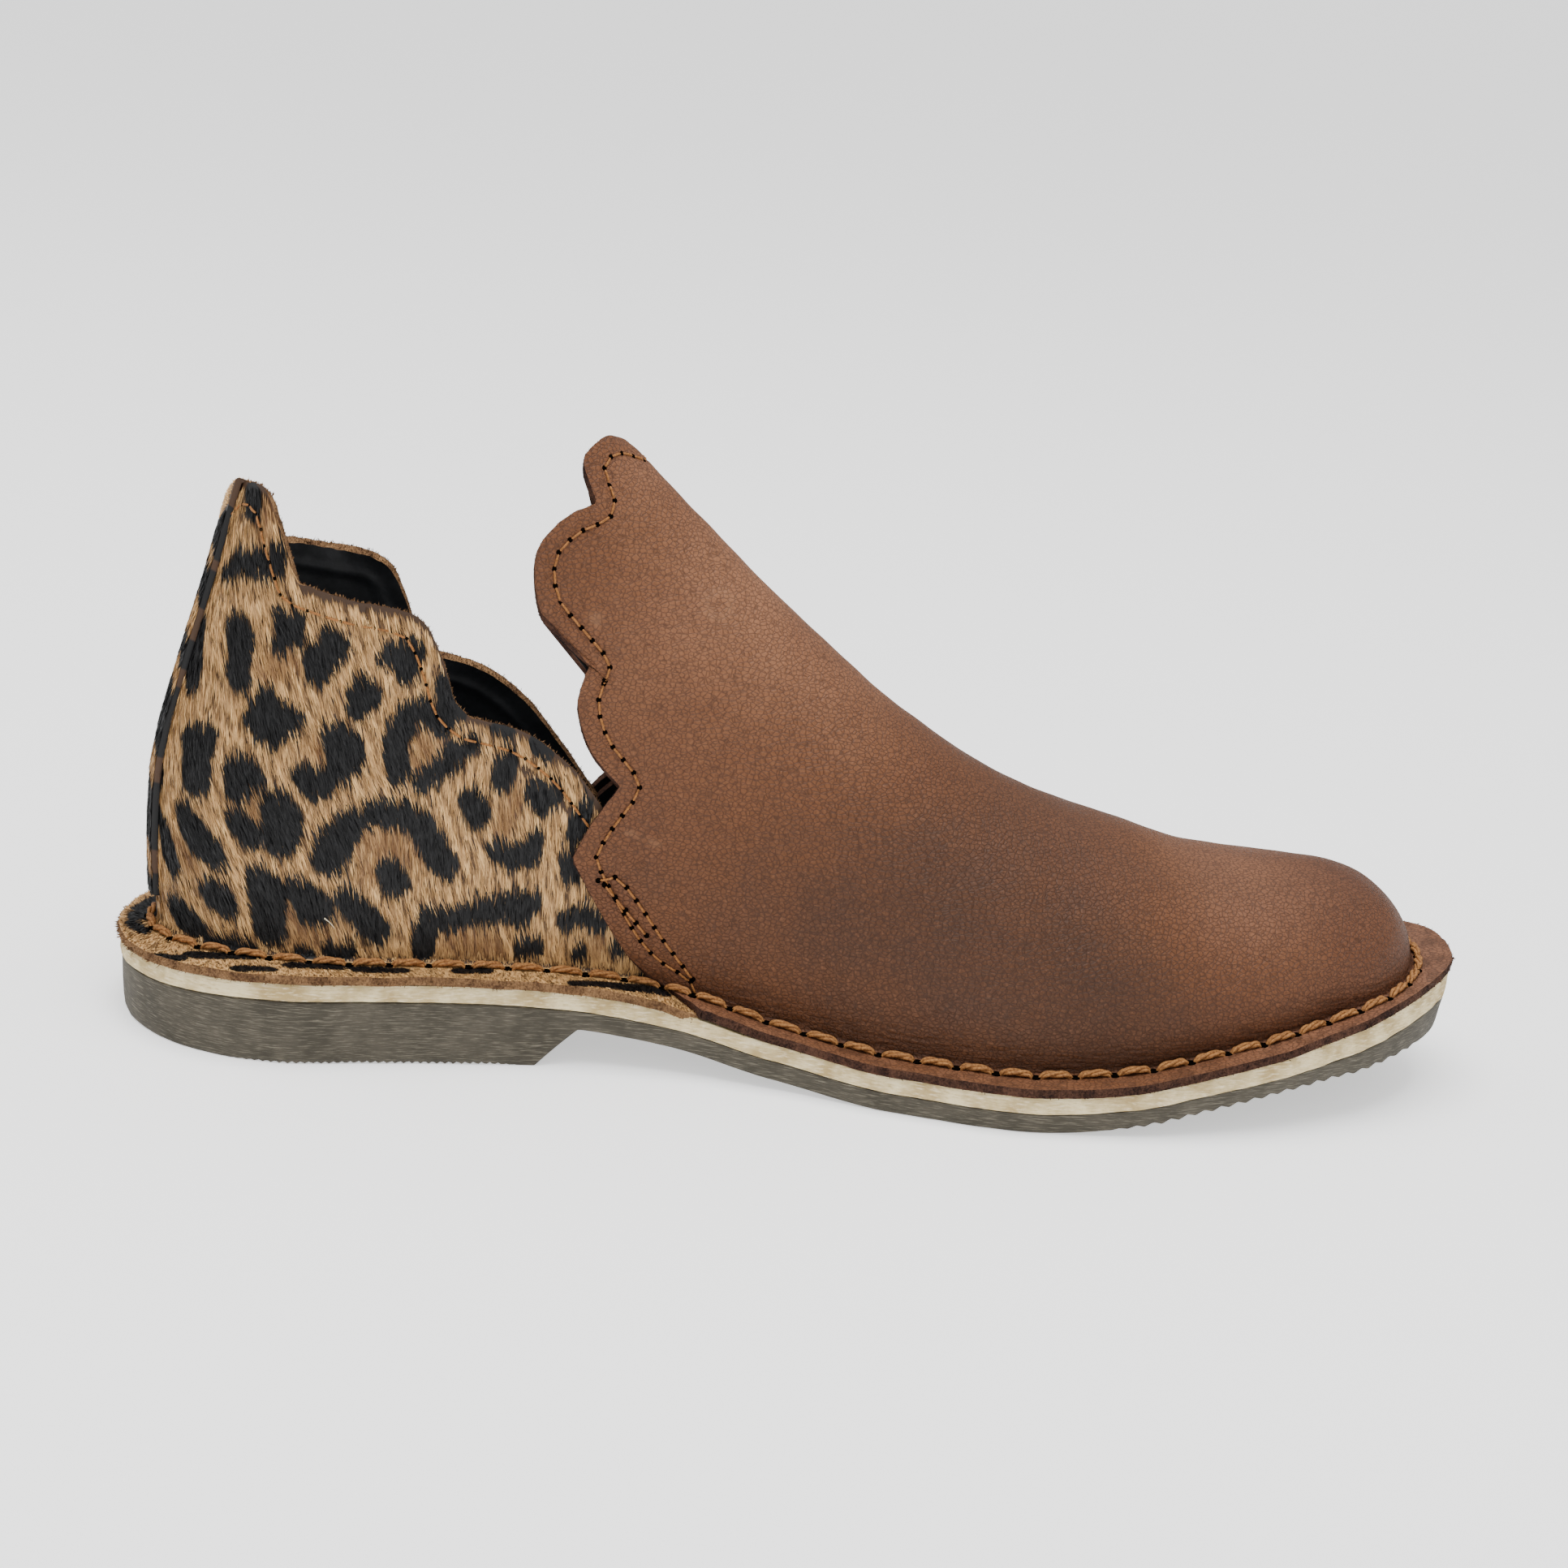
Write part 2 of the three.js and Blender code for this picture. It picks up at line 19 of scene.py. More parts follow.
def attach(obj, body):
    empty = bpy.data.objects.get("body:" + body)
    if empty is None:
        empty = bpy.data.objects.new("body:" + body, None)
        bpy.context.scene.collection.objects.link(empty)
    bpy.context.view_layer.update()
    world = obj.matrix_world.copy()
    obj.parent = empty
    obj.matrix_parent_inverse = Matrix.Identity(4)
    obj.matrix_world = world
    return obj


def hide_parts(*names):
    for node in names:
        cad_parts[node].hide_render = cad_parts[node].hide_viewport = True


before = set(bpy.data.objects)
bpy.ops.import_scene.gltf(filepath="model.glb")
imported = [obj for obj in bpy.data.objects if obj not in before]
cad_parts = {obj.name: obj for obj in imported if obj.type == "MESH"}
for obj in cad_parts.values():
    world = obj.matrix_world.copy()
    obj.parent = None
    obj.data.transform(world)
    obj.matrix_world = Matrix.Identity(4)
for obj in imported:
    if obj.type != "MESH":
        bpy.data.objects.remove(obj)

LOG = logging.getLogger("veldskoen")
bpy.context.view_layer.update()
Array = np.ndarray

METRE = 0.001
REST_AT = 42.0
IMAGE_SIDE = 1932.0


class Side(Enum):
    """The two sides of the shoe, as the sign of Y."""

    MEDIAL = -1
    LATERAL = 1


# ---- Tables of the form


@dataclass(frozen=True)
class Table:
    """A table of named columns, read as a monotone cubic along its first column."""

    columns: tuple
    rows: tuple

    def read(self, name: str, at: Array) -> Array:
        """Reads one column at any places.

        Args:
            name: The column's name.
            at: Places along the first column, any shape.

        Returns:
            The column's values there. Between rows a cubic keeps the slopes that a monotone curve needs,
            and outside the table the end values hold.
        """
        data = np.array(self.rows, float)
        xs, ys = data[:, 0], data[:, self.columns.index(name)]
        step = np.diff(xs)
        slope = np.diff(ys) / step
        tangent = np.concatenate([slope[:1], np.zeros(len(xs) - 2), slope[-1:]])
        before, after = slope[:-1], slope[1:]
        near = 2 * step[1:] + step[:-1]
        far = step[1:] + 2 * step[:-1]
        same = before * after > 0
        weight = near[same] / before[same] + far[same] / after[same]
        tangent[1:-1][same] = (near[same] + far[same]) / weight
        place = np.clip(at, xs[0], xs[-1])
        k = np.clip(np.searchsorted(xs, place, side="right") - 1, 0, len(step) - 1)
        h = step[k]
        t = (place - xs[k]) / h
        start = ys[k] * (2 * t**3 - 3 * t**2 + 1) + h * tangent[k] * (t**3 - 2 * t**2 + t)
        return start + ys[k + 1] * (3 * t**2 - 2 * t**3) + h * tangent[k + 1] * (t**3 - t**2)


PLAN = Table(
    ("at", "spread", "swing", "heel", "toe"),
    (
        (0.0, 0.0, 0.0, 0.79, 0.0),
        (0.13, 0.0, -0.004, 1.0, 0.0),
        (0.184, -0.03, 0.013, 1.0, 0.0),
        (0.257, -0.08, 0.032, 0.99, 0.0),
        (0.331, -0.08, 0.052, 0.88, 0.0),
        (0.404, 0.05, 0.058, 0.65, 0.0),
        (0.478, 0.36, 0.053, 0.24, 0.0),
        (0.566, 0.73, 0.018, 0.0, 0.0),
        (0.662, 0.99, -0.007, 0.0, 0.0),
        (0.735, 0.94, -0.011, 0.0, 0.1),
        (0.79, 0.765, -0.014, 0.0, 0.28),
        (0.846, 0.46, -0.015, 0.0, 0.46),
        (0.901, -0.03, -0.014, 0.0, 0.655),
        (0.949, -0.36, -0.005, 0.0, 0.85),
        (1.0, -0.61, 0.02, 0.0, 1.0),
    ),
)

SECTIONS = Table(
    ("at", "margin", "ridge", "crest", "rise", "side", "tuck"),
    (
        (0.165, 0.76, 1.43, 0.0, 2.6, 2.0, 0.07),
        (0.257, 0.78, 1.25, 0.0, 2.5, 2.0, 0.06),
        (0.346, 0.93, 1.002, -0.005, 2.2, 1.9, 0.05),
        (0.404, 1.0, 0.874, -0.01, 2.0, 1.85, 0.05),
        (0.478, 1.0, 0.737, -0.02, 2.0, 1.85, 0.04),
        (0.551, 1.0, 0.603, -0.035, 2.0, 1.9, 0.04),
        (0.625, 1.0, 0.485, -0.05, 2.05, 1.95, 0.04),
        (0.68, 1.0, 0.423, -0.055, 2.1, 2.0, 0.04),
        (0.735, 1.0, 0.365, -0.055, 2.15, 2.05, 0.04),
        (0.79, 1.0, 0.291, -0.05, 2.2, 2.1, 0.04),
        (0.846, 1.0, 0.245, -0.04, 2.25, 2.1, 0.04),
        (0.886, 1.0, 0.214, -0.028, 2.25, 2.1, 0.04),
        (1.0, 1.0, 0.14, 0.015, 2.0, 2.0, 0.0),
    ),
)

BACK_LINE = Table(
    ("up", "lean"),
    (
        (-0.3, 0.15),
        (0.02, 0.085),
        (0.13, 0.023),
        (0.24, 0.0),
        (0.33, 0.015),
        (0.42, 0.1),
        (0.6, 0.39),
        (0.79, 0.72),
        (0.97, 1.0),
        (1.62, 2.17),
    ),
)

# Edges as (share of length, share of the height over the heel's flange), a smooth run for each list.
COLLAR_RUNS = (
    ((0.052, 0.945), (0.077, 0.997), (0.088, 0.98), (0.101, 0.87)),
    ((0.107, 0.82), (0.142, 0.797), (0.19, 0.768), (0.209, 0.686), (0.22, 0.59)),
    ((0.231, 0.557), (0.27, 0.53), (0.304, 0.464), (0.33, 0.376), (0.368, 0.23), (0.45, -0.1)),
)
VAMP_RUNS = (
    ((0.32, 1.12), (0.3155, 1.035), (0.3145, 0.993), (0.32, 0.95), (0.3265, 0.915)),
    ((0.3265, 0.915), (0.303, 0.888), (0.2845, 0.82), (0.291, 0.712), (0.313, 0.655), (0.3285, 0.615)),
    ((0.3285, 0.615), (0.3215, 0.54), (0.3325, 0.45), (0.3555, 0.38)),
    ((0.3555, 0.38), (0.337, 0.3), (0.3255, 0.23)),
    ((0.3255, 0.23), (0.348, 0.125), (0.371, 0.035), (0.394, -0.02), (0.404, -0.05)),
)
LATERAL_RUNS = (
    ((0.3235, 0.983), (0.3338, 0.919), (0.3327, 0.869), (0.3434, 0.808)),
    ((0.3434, 0.808), (0.318, 0.76), (0.3051, 0.676), (0.3125, 0.577), (0.3327, 0.513), (0.3467, 0.476)),
    ((0.3467, 0.476), (0.3412, 0.424), (0.3456, 0.359), (0.3632, 0.283)),
    ((0.3632, 0.283), (0.3456, 0.231), (0.3349, 0.181)),
)
NOTCH = ((0.0, 0.0), (0.22, 0.4), (0.48, 0.75), (0.76, 0.95), (1.0, 1.0))
LATERAL_DIP = 0.24


def spline_run(points: tuple, steps: int = 24) -> Array:
    """A Catmull-Rom curve through points, with its end points doubled.

    Args:
        points: The points, as pairs.
        steps: Samples for each span.

    Returns:
        The samples, as rows. On each span the curve leaves a point along the line between its neighbours.
    """
    p = np.array(points, float)
    padded = np.vstack([p[:1], p, p[-1:]])
    t = np.linspace(0, 1, steps, endpoint=False)[:, None]
    spans = []
    for p0, p1, p2, p3 in zip(padded[:-3], padded[1:-2], padded[2:-1], padded[3:]):
        v0, v1 = (p2 - p0) / 2, (p3 - p1) / 2
        cubic, square = 2 * p1 - 2 * p2 + v0 + v1, -3 * p1 + 3 * p2 - 2 * v0 - v1
        spans.append(cubic * t**3 + square * t**2 + v0 * t + p1)
    return np.vstack([*spans, p[-1:]])


def smoothstep(low: float, high: float, value: Array) -> Array:
    """Goes smoothly from 0 at low to 1 at high."""
    t = np.clip((np.asarray(value, float) - low) / (high - low), 0, 1)
    return t * t * (3 - 2 * t)


def unit(vectors: Array) -> Array:
    """Vectors along the last axis brought to length 1."""
    return vectors / np.maximum(np.linalg.norm(vectors, axis=-1, keepdims=True), 1e-9)


def travelled(line: Array) -> Array:
    """Distance run along a polyline at each of its points."""
    return np.concatenate([[0], np.cumsum(np.linalg.norm(np.diff(line, axis=0), axis=1))])


def spaced(line: Array, values: Array, plain: Array, weight: float, count: int) -> Array:
    """Picks values that lie evenly along a line.

    Args:
        line: The line's points.
        values: The value at each of them.
        plain: Plain spacing from 0 to 1, a share of which keeps values where the line hardly moves.
        weight: Share of the spacing by distance.
        count: How many to pick.

    Returns:
        The picked values, first and last included.
    """
    run = travelled(line)
    mixed = weight * run / run[-1] + (1 - weight) * plain
    return np.interp(np.linspace(0, 1, count), mixed, values)


def halve(low: Array, high: Array, holds: Callable[[Array], Array], times: int = 24) -> Array:
    """Finds where a condition ends between two values by halving the span.

    Args:
        low: Values at which it holds.
        high: Values at which it doesn't.
        holds: Tells it for an array of values.
        times: Number of halvings.

    Returns:
        The last values at which it was found to hold.
    """
    for _ in range(times):
        middle = (low + high) / 2
        good = holds(middle)
        low, high = np.where(good, middle, low), np.where(good, high, middle)
    return low


@dataclass(frozen=True)
class Last:
    """The form of the shoe: its sizes in millimetres and the surfaces that follow from them."""

    length: float = 272.0
    ball_width: float = 99.0
    heel_width: float = 69.2
    throat_height: float = 101.0
    back_height: float = 91.0
    heel_raise: float = 9.0
    toe_spring: float = 18.0
    tread: float = 5.1
    midsole: float = 2.4
    flange: float = 2.2
    flange_margin: float = 8.6
    toe_margin: float = 11.3
    heel_margin: float = 6.3
    back_lean: float = 13.0
    heel_round: float = 0.165
    toe_round: float = 0.886
    plan_heel_round: float = 0.14
    plan_toe_round: float = 0.9
    toe_blunt: float = 0.4
    notch_width: float = 20.6
    notch_depth: float = 6.6
    notch_at: float = 0.3485
    collar_skew: float = 0.16
    fillet: float = 2.2
    toe_arc: float = 46.0
    heel_arc: float = 1.35

    @property
    def heel_end(self) -> float:
        """Where the round heel ends."""
        return self.heel_round * self.length

    @property
    def toe_start(self) -> float:
        """Where the round toe begins."""
        return self.toe_round * self.length

    @property
    def heel_top(self) -> float:
        """The flange's upper face over the heel."""
        return self.tread + self.midsole + self.heel_raise + self.flange

    def plan(self, name: str, x: Array) -> Array:
        """One column of the plan at places along the shoe."""
        return PLAN.read(name, np.asarray(x) / self.length)

    def section(self, name: str, x: Array) -> Array:
        """One column of the sections at places along the shoe."""
        return SECTIONS.read(name, np.asarray(x) / self.length)

    def flange_bottom(self, x: Array) -> Array:
        """Level of the flange's underside: tread and midsole, lifted at the heel and by the toe spring."""
        lift = self.plan("heel", x) * self.heel_raise + self.plan("toe", x) * self.toe_spring
        return self.tread + self.midsole + lift

    def flange_top(self, x: Array) -> Array:
        """Level of the flange's upper face."""
        return self.flange_bottom(x) + self.flange

    def plan_half(self, x: Array) -> Array:
        """Half the sole's width along the shoe."""
        return (self.heel_width + (self.ball_width - self.heel_width) * self.plan("spread", x)) / 2

    def ridge(self, x: Array) -> Array:
        """Height of the ridge over the flange."""
        return self.section("ridge", x) * self.throat_height

    def back_line(self, z: Array) -> Array:
        """How far in from the back of the sole the back seam stands at a level."""
        up = (z - self.heel_top) / self.back_height
        return self.heel_margin + BACK_LINE.read("lean", up) * self.back_lean

    def wall(self, a: Array, b: Array, side: Array, grow: float) -> Array:
        """The wall of the last, grown outwards.

        The half section is a superellipse: height = ridge * sin(b)^(2/rise), half width * cos(b)^(2/side).
        At the heel each level closes as a quarter ellipse round to the back line, and at the toe the
        section shrinks along an ellipse to the tip.

        Args:
            a: -1 at the back, 0..1 along the body, 2 at the toe's tip.
            b: 0 at the flange, 1 at the ridge.
            side: -1 medial, 1 lateral.
            grow: Distance outwards in millimetres.

        Returns:
            Points, with the last axis x, y, z.
        """
        a, b, side = np.broadcast_arrays(np.asarray(a, float), np.asarray(b, float), np.asarray(side, float))
        toe_tip = self.length - self.toe_margin + grow
        turn = (np.minimum(a, 0) + 1) * (np.pi / 2)
        toe = np.sin(np.maximum(a - 1, 0) * (np.pi / 2))
        body = self.heel_end + np.clip(a, 0, 1) * self.body_run
        x = np.where(a > 1, self.toe_start + (toe_tip - self.toe_start) * toe, body)
        at = np.minimum(x, toe_tip)
        angle = np.clip(b, 0, 1) * (np.pi / 2)
        rise = np.sin(angle) ** (2 / self.section("rise", at))
        narrow = np.maximum(np.cos(angle), 0) ** (2 / self.section("side", at))
        ahead = self.flange_top(at + 1) + self.ridge(at + 1)
        slant = (ahead - self.flange_top(at - 1) - self.ridge(at - 1)) / 2
        stretch = np.minimum(np.hypot(1, slant), 2)
        top = (self.ridge(at) + grow * stretch) * np.sqrt(np.maximum(1 - toe**2, 0))
        z = self.flange_top(x) + top * rise
        for _ in range(3):
            back = self.back_line(z) - grow
            heel = back + (self.heel_end - back) * (1 - np.cos(turn))
            x = np.where(a < 0, heel, x)
            z = self.flange_top(x) + top * rise
        tuck = 1 - self.section("tuck", at) * np.maximum(1 - rise / 0.28, 0) ** 2
        half = self.plan_half(at) - self.section("margin", at) * self.flange_margin + grow
        close = np.sin(turn) * np.sqrt(np.maximum(1 - toe**4, 0))
        foot = self.plan("swing", at) * self.ball_width * np.sin(turn)
        centre = foot + (self.section("crest", at) * self.ball_width - foot) * rise
        return np.stack([x, centre + side * half * narrow * tuck * close, z], axis=-1)

    def outline(self, x: Array, inset: float) -> tuple:
        """The outline of a layer of the sole, drawn in by an inset.

        Args:
            x: Places along the shoe.
            inset: How far the layer is drawn in.

        Returns:
            The centre line and the half width there, closed by a superellipse at heel and toe.
        """
        heel_end = self.plan_heel_round * self.length
        toe_start = self.plan_toe_round * self.length
        heel = np.clip((heel_end - x) / (heel_end - inset), 0, 1)
        toe = np.clip((x - toe_start) / (self.length - inset - toe_start), 0, 1)
        blunt = 1 + self.toe_blunt * toe**10
        close = np.sqrt(np.maximum(1 - heel**2.2, 0)) * np.sqrt(np.maximum(1 - toe**2, 0)) * blunt
        return self.plan("swing", x) * self.ball_width, (self.plan_half(x) - inset) * close

    @property
    def body_run(self) -> float:
        """Length of the body between the round heel and the round toe."""
        return self.toe_start - self.heel_end

    def rim(self, a: Array, side: Array) -> Array:
        """The flange's outer edge opposite the wall at a, as x and y.

        Over the body it lies straight out from the wall. Round the heel and the toe it runs on to the
        ends of the outline while the wall runs to its own ends.
        """
        turn = (np.minimum(a, 0) + 1) * (np.pi / 2)
        toe = np.sin(np.maximum(a - 1, 0) * (np.pi / 2))
        body = self.heel_end + np.clip(a, 0, 1) * self.body_run
        x = np.where(a > 1, self.toe_start + (self.length - self.toe_start) * toe, body)
        x = np.where(a < 0, self.heel_end * (1 - np.cos(turn)), x)
        centre, half = self.outline(x, 0.0)
        return np.stack([x, centre * np.sin(turn) + side * half, np.zeros_like(x)], axis=-1)

    def skin(self, a: Array, s: Array, side: Array, grow: float, drop: float = 0.0) -> Array:
        """Wall and flange in one, joined by a fillet.

        Args:
            a: Place along the shoe, as in wall.
            s: -1 at the flange's outer edge, 0 at the foot of the wall, 1 at the ridge.
            side: -1 medial, 1 lateral.
            grow: How far the wall stands outwards.
            drop: How far the flange's face lies under its upper level.

        Returns:
            Points. Within a fillet's radius R of the corner, distance R(1-t)^2 out and R t^2 up replace
            the corner, with t from 0 on the flange over 1/2 at the foot to 1 on the wall.
        """
        a, s, side = np.broadcast_arrays(np.asarray(a, float), np.asarray(s, float), np.asarray(side, float))
        foot = self.wall(a, 0.0, side, grow)
        out = self.rim(a, side) - foot
        out[..., 2] = 0
        reach = np.maximum(np.linalg.norm(out, axis=-1), 1e-6)
        out /= reach[..., None]
        wall = self.wall(a, np.maximum(s, 0), side, grow)
        height = wall[..., 2] - self.flange_top(wall[..., 0])
        radius = self.fillet
        gap = np.maximum(-s, 0) * reach
        t_flange = np.clip((1 - gap / radius) / 2, 0, 0.5)
        t_wall = np.clip(0.5 + height / (2 * radius), 0.5, 1)
        on_flange = s < 0
        t = np.where(on_flange, t_flange, t_wall)
        away = np.where(on_flange & (gap >= radius), gap, radius * (1 - t) ** 2)
        base = np.where(on_flange[..., None], foot, wall)
        point = base + out * away[..., None]
        level = self.flange_top(point[..., 0]) - drop
        up = radius * t**2
        low = on_flange | (height < radius)
        point[..., 2] = np.where(low, level + np.where(on_flange & (gap >= radius), 0, up), wall[..., 2])
        # The drop fades over the lowest part of the wall, where the flange's level no longer matters.
        fade = drop * np.clip(1 - height / (3 * radius), 0, 1)
        point[..., 2] -= np.where(low, 0, fade)
        return point

    def travel(self, a: Array) -> Array:
        """Rough distance along the shoe for a, with the arcs of heel and toe counted in full."""
        body = self.body_run
        heel = self.heel_arc * self.heel_end
        return np.where(a < 0, heel * a, np.where(a > 1, body + self.toe_arc * (a - 1), body * a))

    def place(self, travel: Array) -> Array:
        """The value of a for a distance along the shoe, the inverse of travel."""
        body = self.body_run
        heel = self.heel_arc * self.heel_end
        after = 1 + (travel - body) / self.toe_arc
        return np.where(travel < 0, travel / heel, np.where(travel > body, after, travel / body))

    def along(self, x: Array) -> Array:
        """The value of a on the body for a place along the shoe."""
        return (np.asarray(x) - self.heel_end) / self.body_run


LAST = Last()
LINING = 1.8
VAMP_OUT = 2.1
VAMP_WALL = 1.8
HIDE_WALL = 1.8
STRIP_OUT = 1.5
STRIP_WALL = 1.2
# What the cream layer shows below its nominal thickness, where the rubber's edge is skived.
SKIVE = 0.8
TOE_SKIVE = 1.6
# How far the seams lie in from the cut edges.
SCALLOP_INSET = 3.9
COLLAR_INSET = 4.4
# How far the collar's seam is lifted, so that its stitches lie on the hair.
COLLAR_SEAM_LIFT = 0.4
# Where the vamp's flange laps over the hide's: its start, the place it lies flat again, and its height.
LAP_START = 112.0
LAP_END = 138.0
LAP_LIFT = 0.8
# The collar is cut lower over the back seam.
SEAM_DIP = 4.2


@dataclass(frozen=True)
class Edge:
    """A cut edge seen from the side, as heights against places along the shoe."""

    xs: Array
    zs: Array

    @staticmethod
    def of(runs: tuple, height: float) -> "Edge":
        """Builds the edge from its runs and the height that their second column is a share of."""
        points = np.vstack([spline_run(run) for run in runs])
        return Edge(points[:, 0] * LAST.length, LAST.heel_top + points[:, 1] * height)

    def place(self, z: Array) -> Array:
        """The place along the shoe of an edge that only falls, at a level."""
        order = np.argsort(self.zs)
        return np.interp(z, self.zs[order], self.xs[order])

    def level(self, x: Array) -> Array:
        """The level of an edge that only runs forward, at a place."""
        return np.interp(x, self.xs, self.zs)


COLLAR = Edge.of(COLLAR_RUNS, LAST.back_height)
SCALLOPS = Edge.of(VAMP_RUNS, LAST.throat_height)
LATERAL_SCALLOPS = Edge.of(LATERAL_RUNS, LAST.throat_height)


def collar_height(x: Array, y: Array) -> Array:
    """The collar's level at a place: its edge run, dipped over the back seam and just past it."""
    seam = smoothstep(-7.5, -1.5, y) * (1 - smoothstep(8, 24, y))
    return COLLAR.level(x + LAST.collar_skew * y) - SEAM_DIP * seam


def under_collar(points: Array) -> Array:
    """Tells which points lie under the collar's edge."""
    return points[..., 2] < collar_height(points[..., 0], points[..., 1])


def flange_lap(x: Array) -> Array:
    """How high the vamp's flange lies over its plain level, where it laps over the hide's."""
    return LAP_LIFT * (1 - smoothstep(LAP_START, LAP_END, x))


def ridge_frame() -> tuple:
    """The point on the ridge where the vamp's top edge dips deepest, and the direction up the ridge."""
    x = LAST.notch_at * LAST.length
    level = lambda at: float(LAST.flange_top(at) + LAST.ridge(at))
    along = np.array([-1.0, 0.0, level(x - 1) - level(x)])
    start = np.array([x, float(LAST.section("crest", x)) * LAST.ball_width, level(x) + VAMP_WALL])
    return start, along / np.linalg.norm(along)


def on_vamp(points: Array) -> Array:
    """How far inside the vamp's cut edge points lie, in millimetres: under 0 outside.

    A point is inside when it lies in front of the scalloped edge at its level and below the dipped line
    across the ridge. The lateral half has an edge of its own, lower and further forward.
    """
    start, along = ridge_frame()
    notch = spline_run(NOTCH, 12)
    side = np.abs(points[..., 1] - start[1]) / (LAST.notch_width / 2)
    lateral = points[..., 1] > start[1]
    dip = np.interp(side, notch[:, 0], notch[:, 1]) * LAST.notch_depth * np.where(lateral, LATERAL_DIP, 1)
    below = dip - (points - start) @ along
    inside = np.minimum(points[..., 0] - SCALLOPS.place(points[..., 2]), below)
    level = points[..., 2]
    far = (points[..., 1] > 0) & (level > LATERAL_SCALLOPS.zs.min()) & (level < LATERAL_SCALLOPS.zs.max())
    return np.where(far, np.minimum(inside, points[..., 0] - LATERAL_SCALLOPS.place(level)), inside)


# ---- Meshes


def grid_faces(rows: int, columns: int, start: int = 0, flip: bool = False) -> Array:
    """Quads of a grid whose vertices are numbered row by row.

    Args:
        rows: Number of rows.
        columns: Number of columns.
        start: Number of the first vertex.
        flip: Turns the faces round.

    Returns:
        One row of four vertex numbers for each face.
    """
    number = np.arange(rows * columns).reshape(rows, columns) + start
    corners = [number[:-1, :-1], number[1:, :-1], number[1:, 1:], number[:-1, 1:]]
    quads = np.stack([c.ravel() for c in corners], axis=-1)
    return quads[:, ::-1] if flip else quads


def strip_faces(first: Array, second: Array) -> Array:
    """Quads between two rows of vertex numbers of the same length."""
    return np.stack([first[:-1], first[1:], second[1:], second[:-1]], axis=-1)


@dataclass
class Build:
    """A mesh in the making: vertices in millimetres, faces, a material for each face and named values."""

    points: Array
    faces: Array
    materials: Array
    values: dict = field(default_factory=dict)

    def make(
        self, name: str, finishes: list, replaced: tuple, slot: str, sharp: float = 40.0, weld: bool = True
    ) -> None:
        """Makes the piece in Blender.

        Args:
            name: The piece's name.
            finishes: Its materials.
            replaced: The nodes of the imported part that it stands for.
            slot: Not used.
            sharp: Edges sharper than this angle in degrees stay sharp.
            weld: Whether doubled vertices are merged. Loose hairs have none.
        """
        mesh = new_mesh(name, self.points, self.faces, finishes)
        mesh.polygons.foreach_set("material_index", self.materials.astype(np.int32))
        for key, value in self.values.items():
            layer = mesh.attributes.new(key, "FLOAT", "POINT")
            layer.data.foreach_set("value", value.astype(np.float32))
        if weld:
            merge_and_smooth(mesh, sharp)
        add_piece(name, mesh, replaced)


def new_mesh(name: str, points: Array, faces: Array, finishes: list) -> bpy.types.Mesh:
    """A mesh in the frame's metres, from points in the shoe's millimetres, with its materials."""
    mesh = bpy.data.meshes.new(name)
    place = points.reshape(-1, 3) * METRE - np.array([REST_AT * METRE, 0, 0])
    mesh.from_pydata(place.tolist(), [], whole_faces(faces))
    for finish in finishes:
        mesh.materials.append(finish)
    return mesh


def add_piece(name: str, mesh: bpy.types.Mesh, replaced: tuple = ()) -> None:
    """Puts a mesh at the origin as a piece that rides on the root body, and hides the imported parts it
    stands for.
    """
    piece = bpy.data.objects.new(name, mesh)
    bpy.context.scene.collection.objects.link(piece)
    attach(piece, "root")
    if replaced:
        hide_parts(*replaced)
    LOG.info("%s: %d faces", name, len(mesh.polygons))


def whole_faces(faces: Array) -> list:
    """Faces as lists, in which a corner that is named twice counts once."""
    return [tuple(dict.fromkeys(face)) for face in faces.tolist()]


def merge_and_smooth(mesh: bpy.types.Mesh, sharp: float) -> None:
    """Merges the doubled vertices at seams and poles and shades smoothly up to a sharp angle."""
    work = bmesh.new()
    work.from_mesh(mesh)
    bmesh.ops.remove_doubles(work, verts=work.verts, dist=2e-6)
    bmesh.ops.dissolve_degenerate(work, dist=1e-7, edges=work.edges)
    work.to_mesh(mesh)
    work.free()
    mesh.shade_smooth()
    mesh.set_sharp_from_angle(angle=math.radians(sharp))
    mesh.update()


def grid_normals(points: Array) -> Array:
    """Unit normals of a grid from the cross product of its row and column directions."""
    return unit(np.cross(np.gradient(points, axis=0), np.gradient(points, axis=1)))


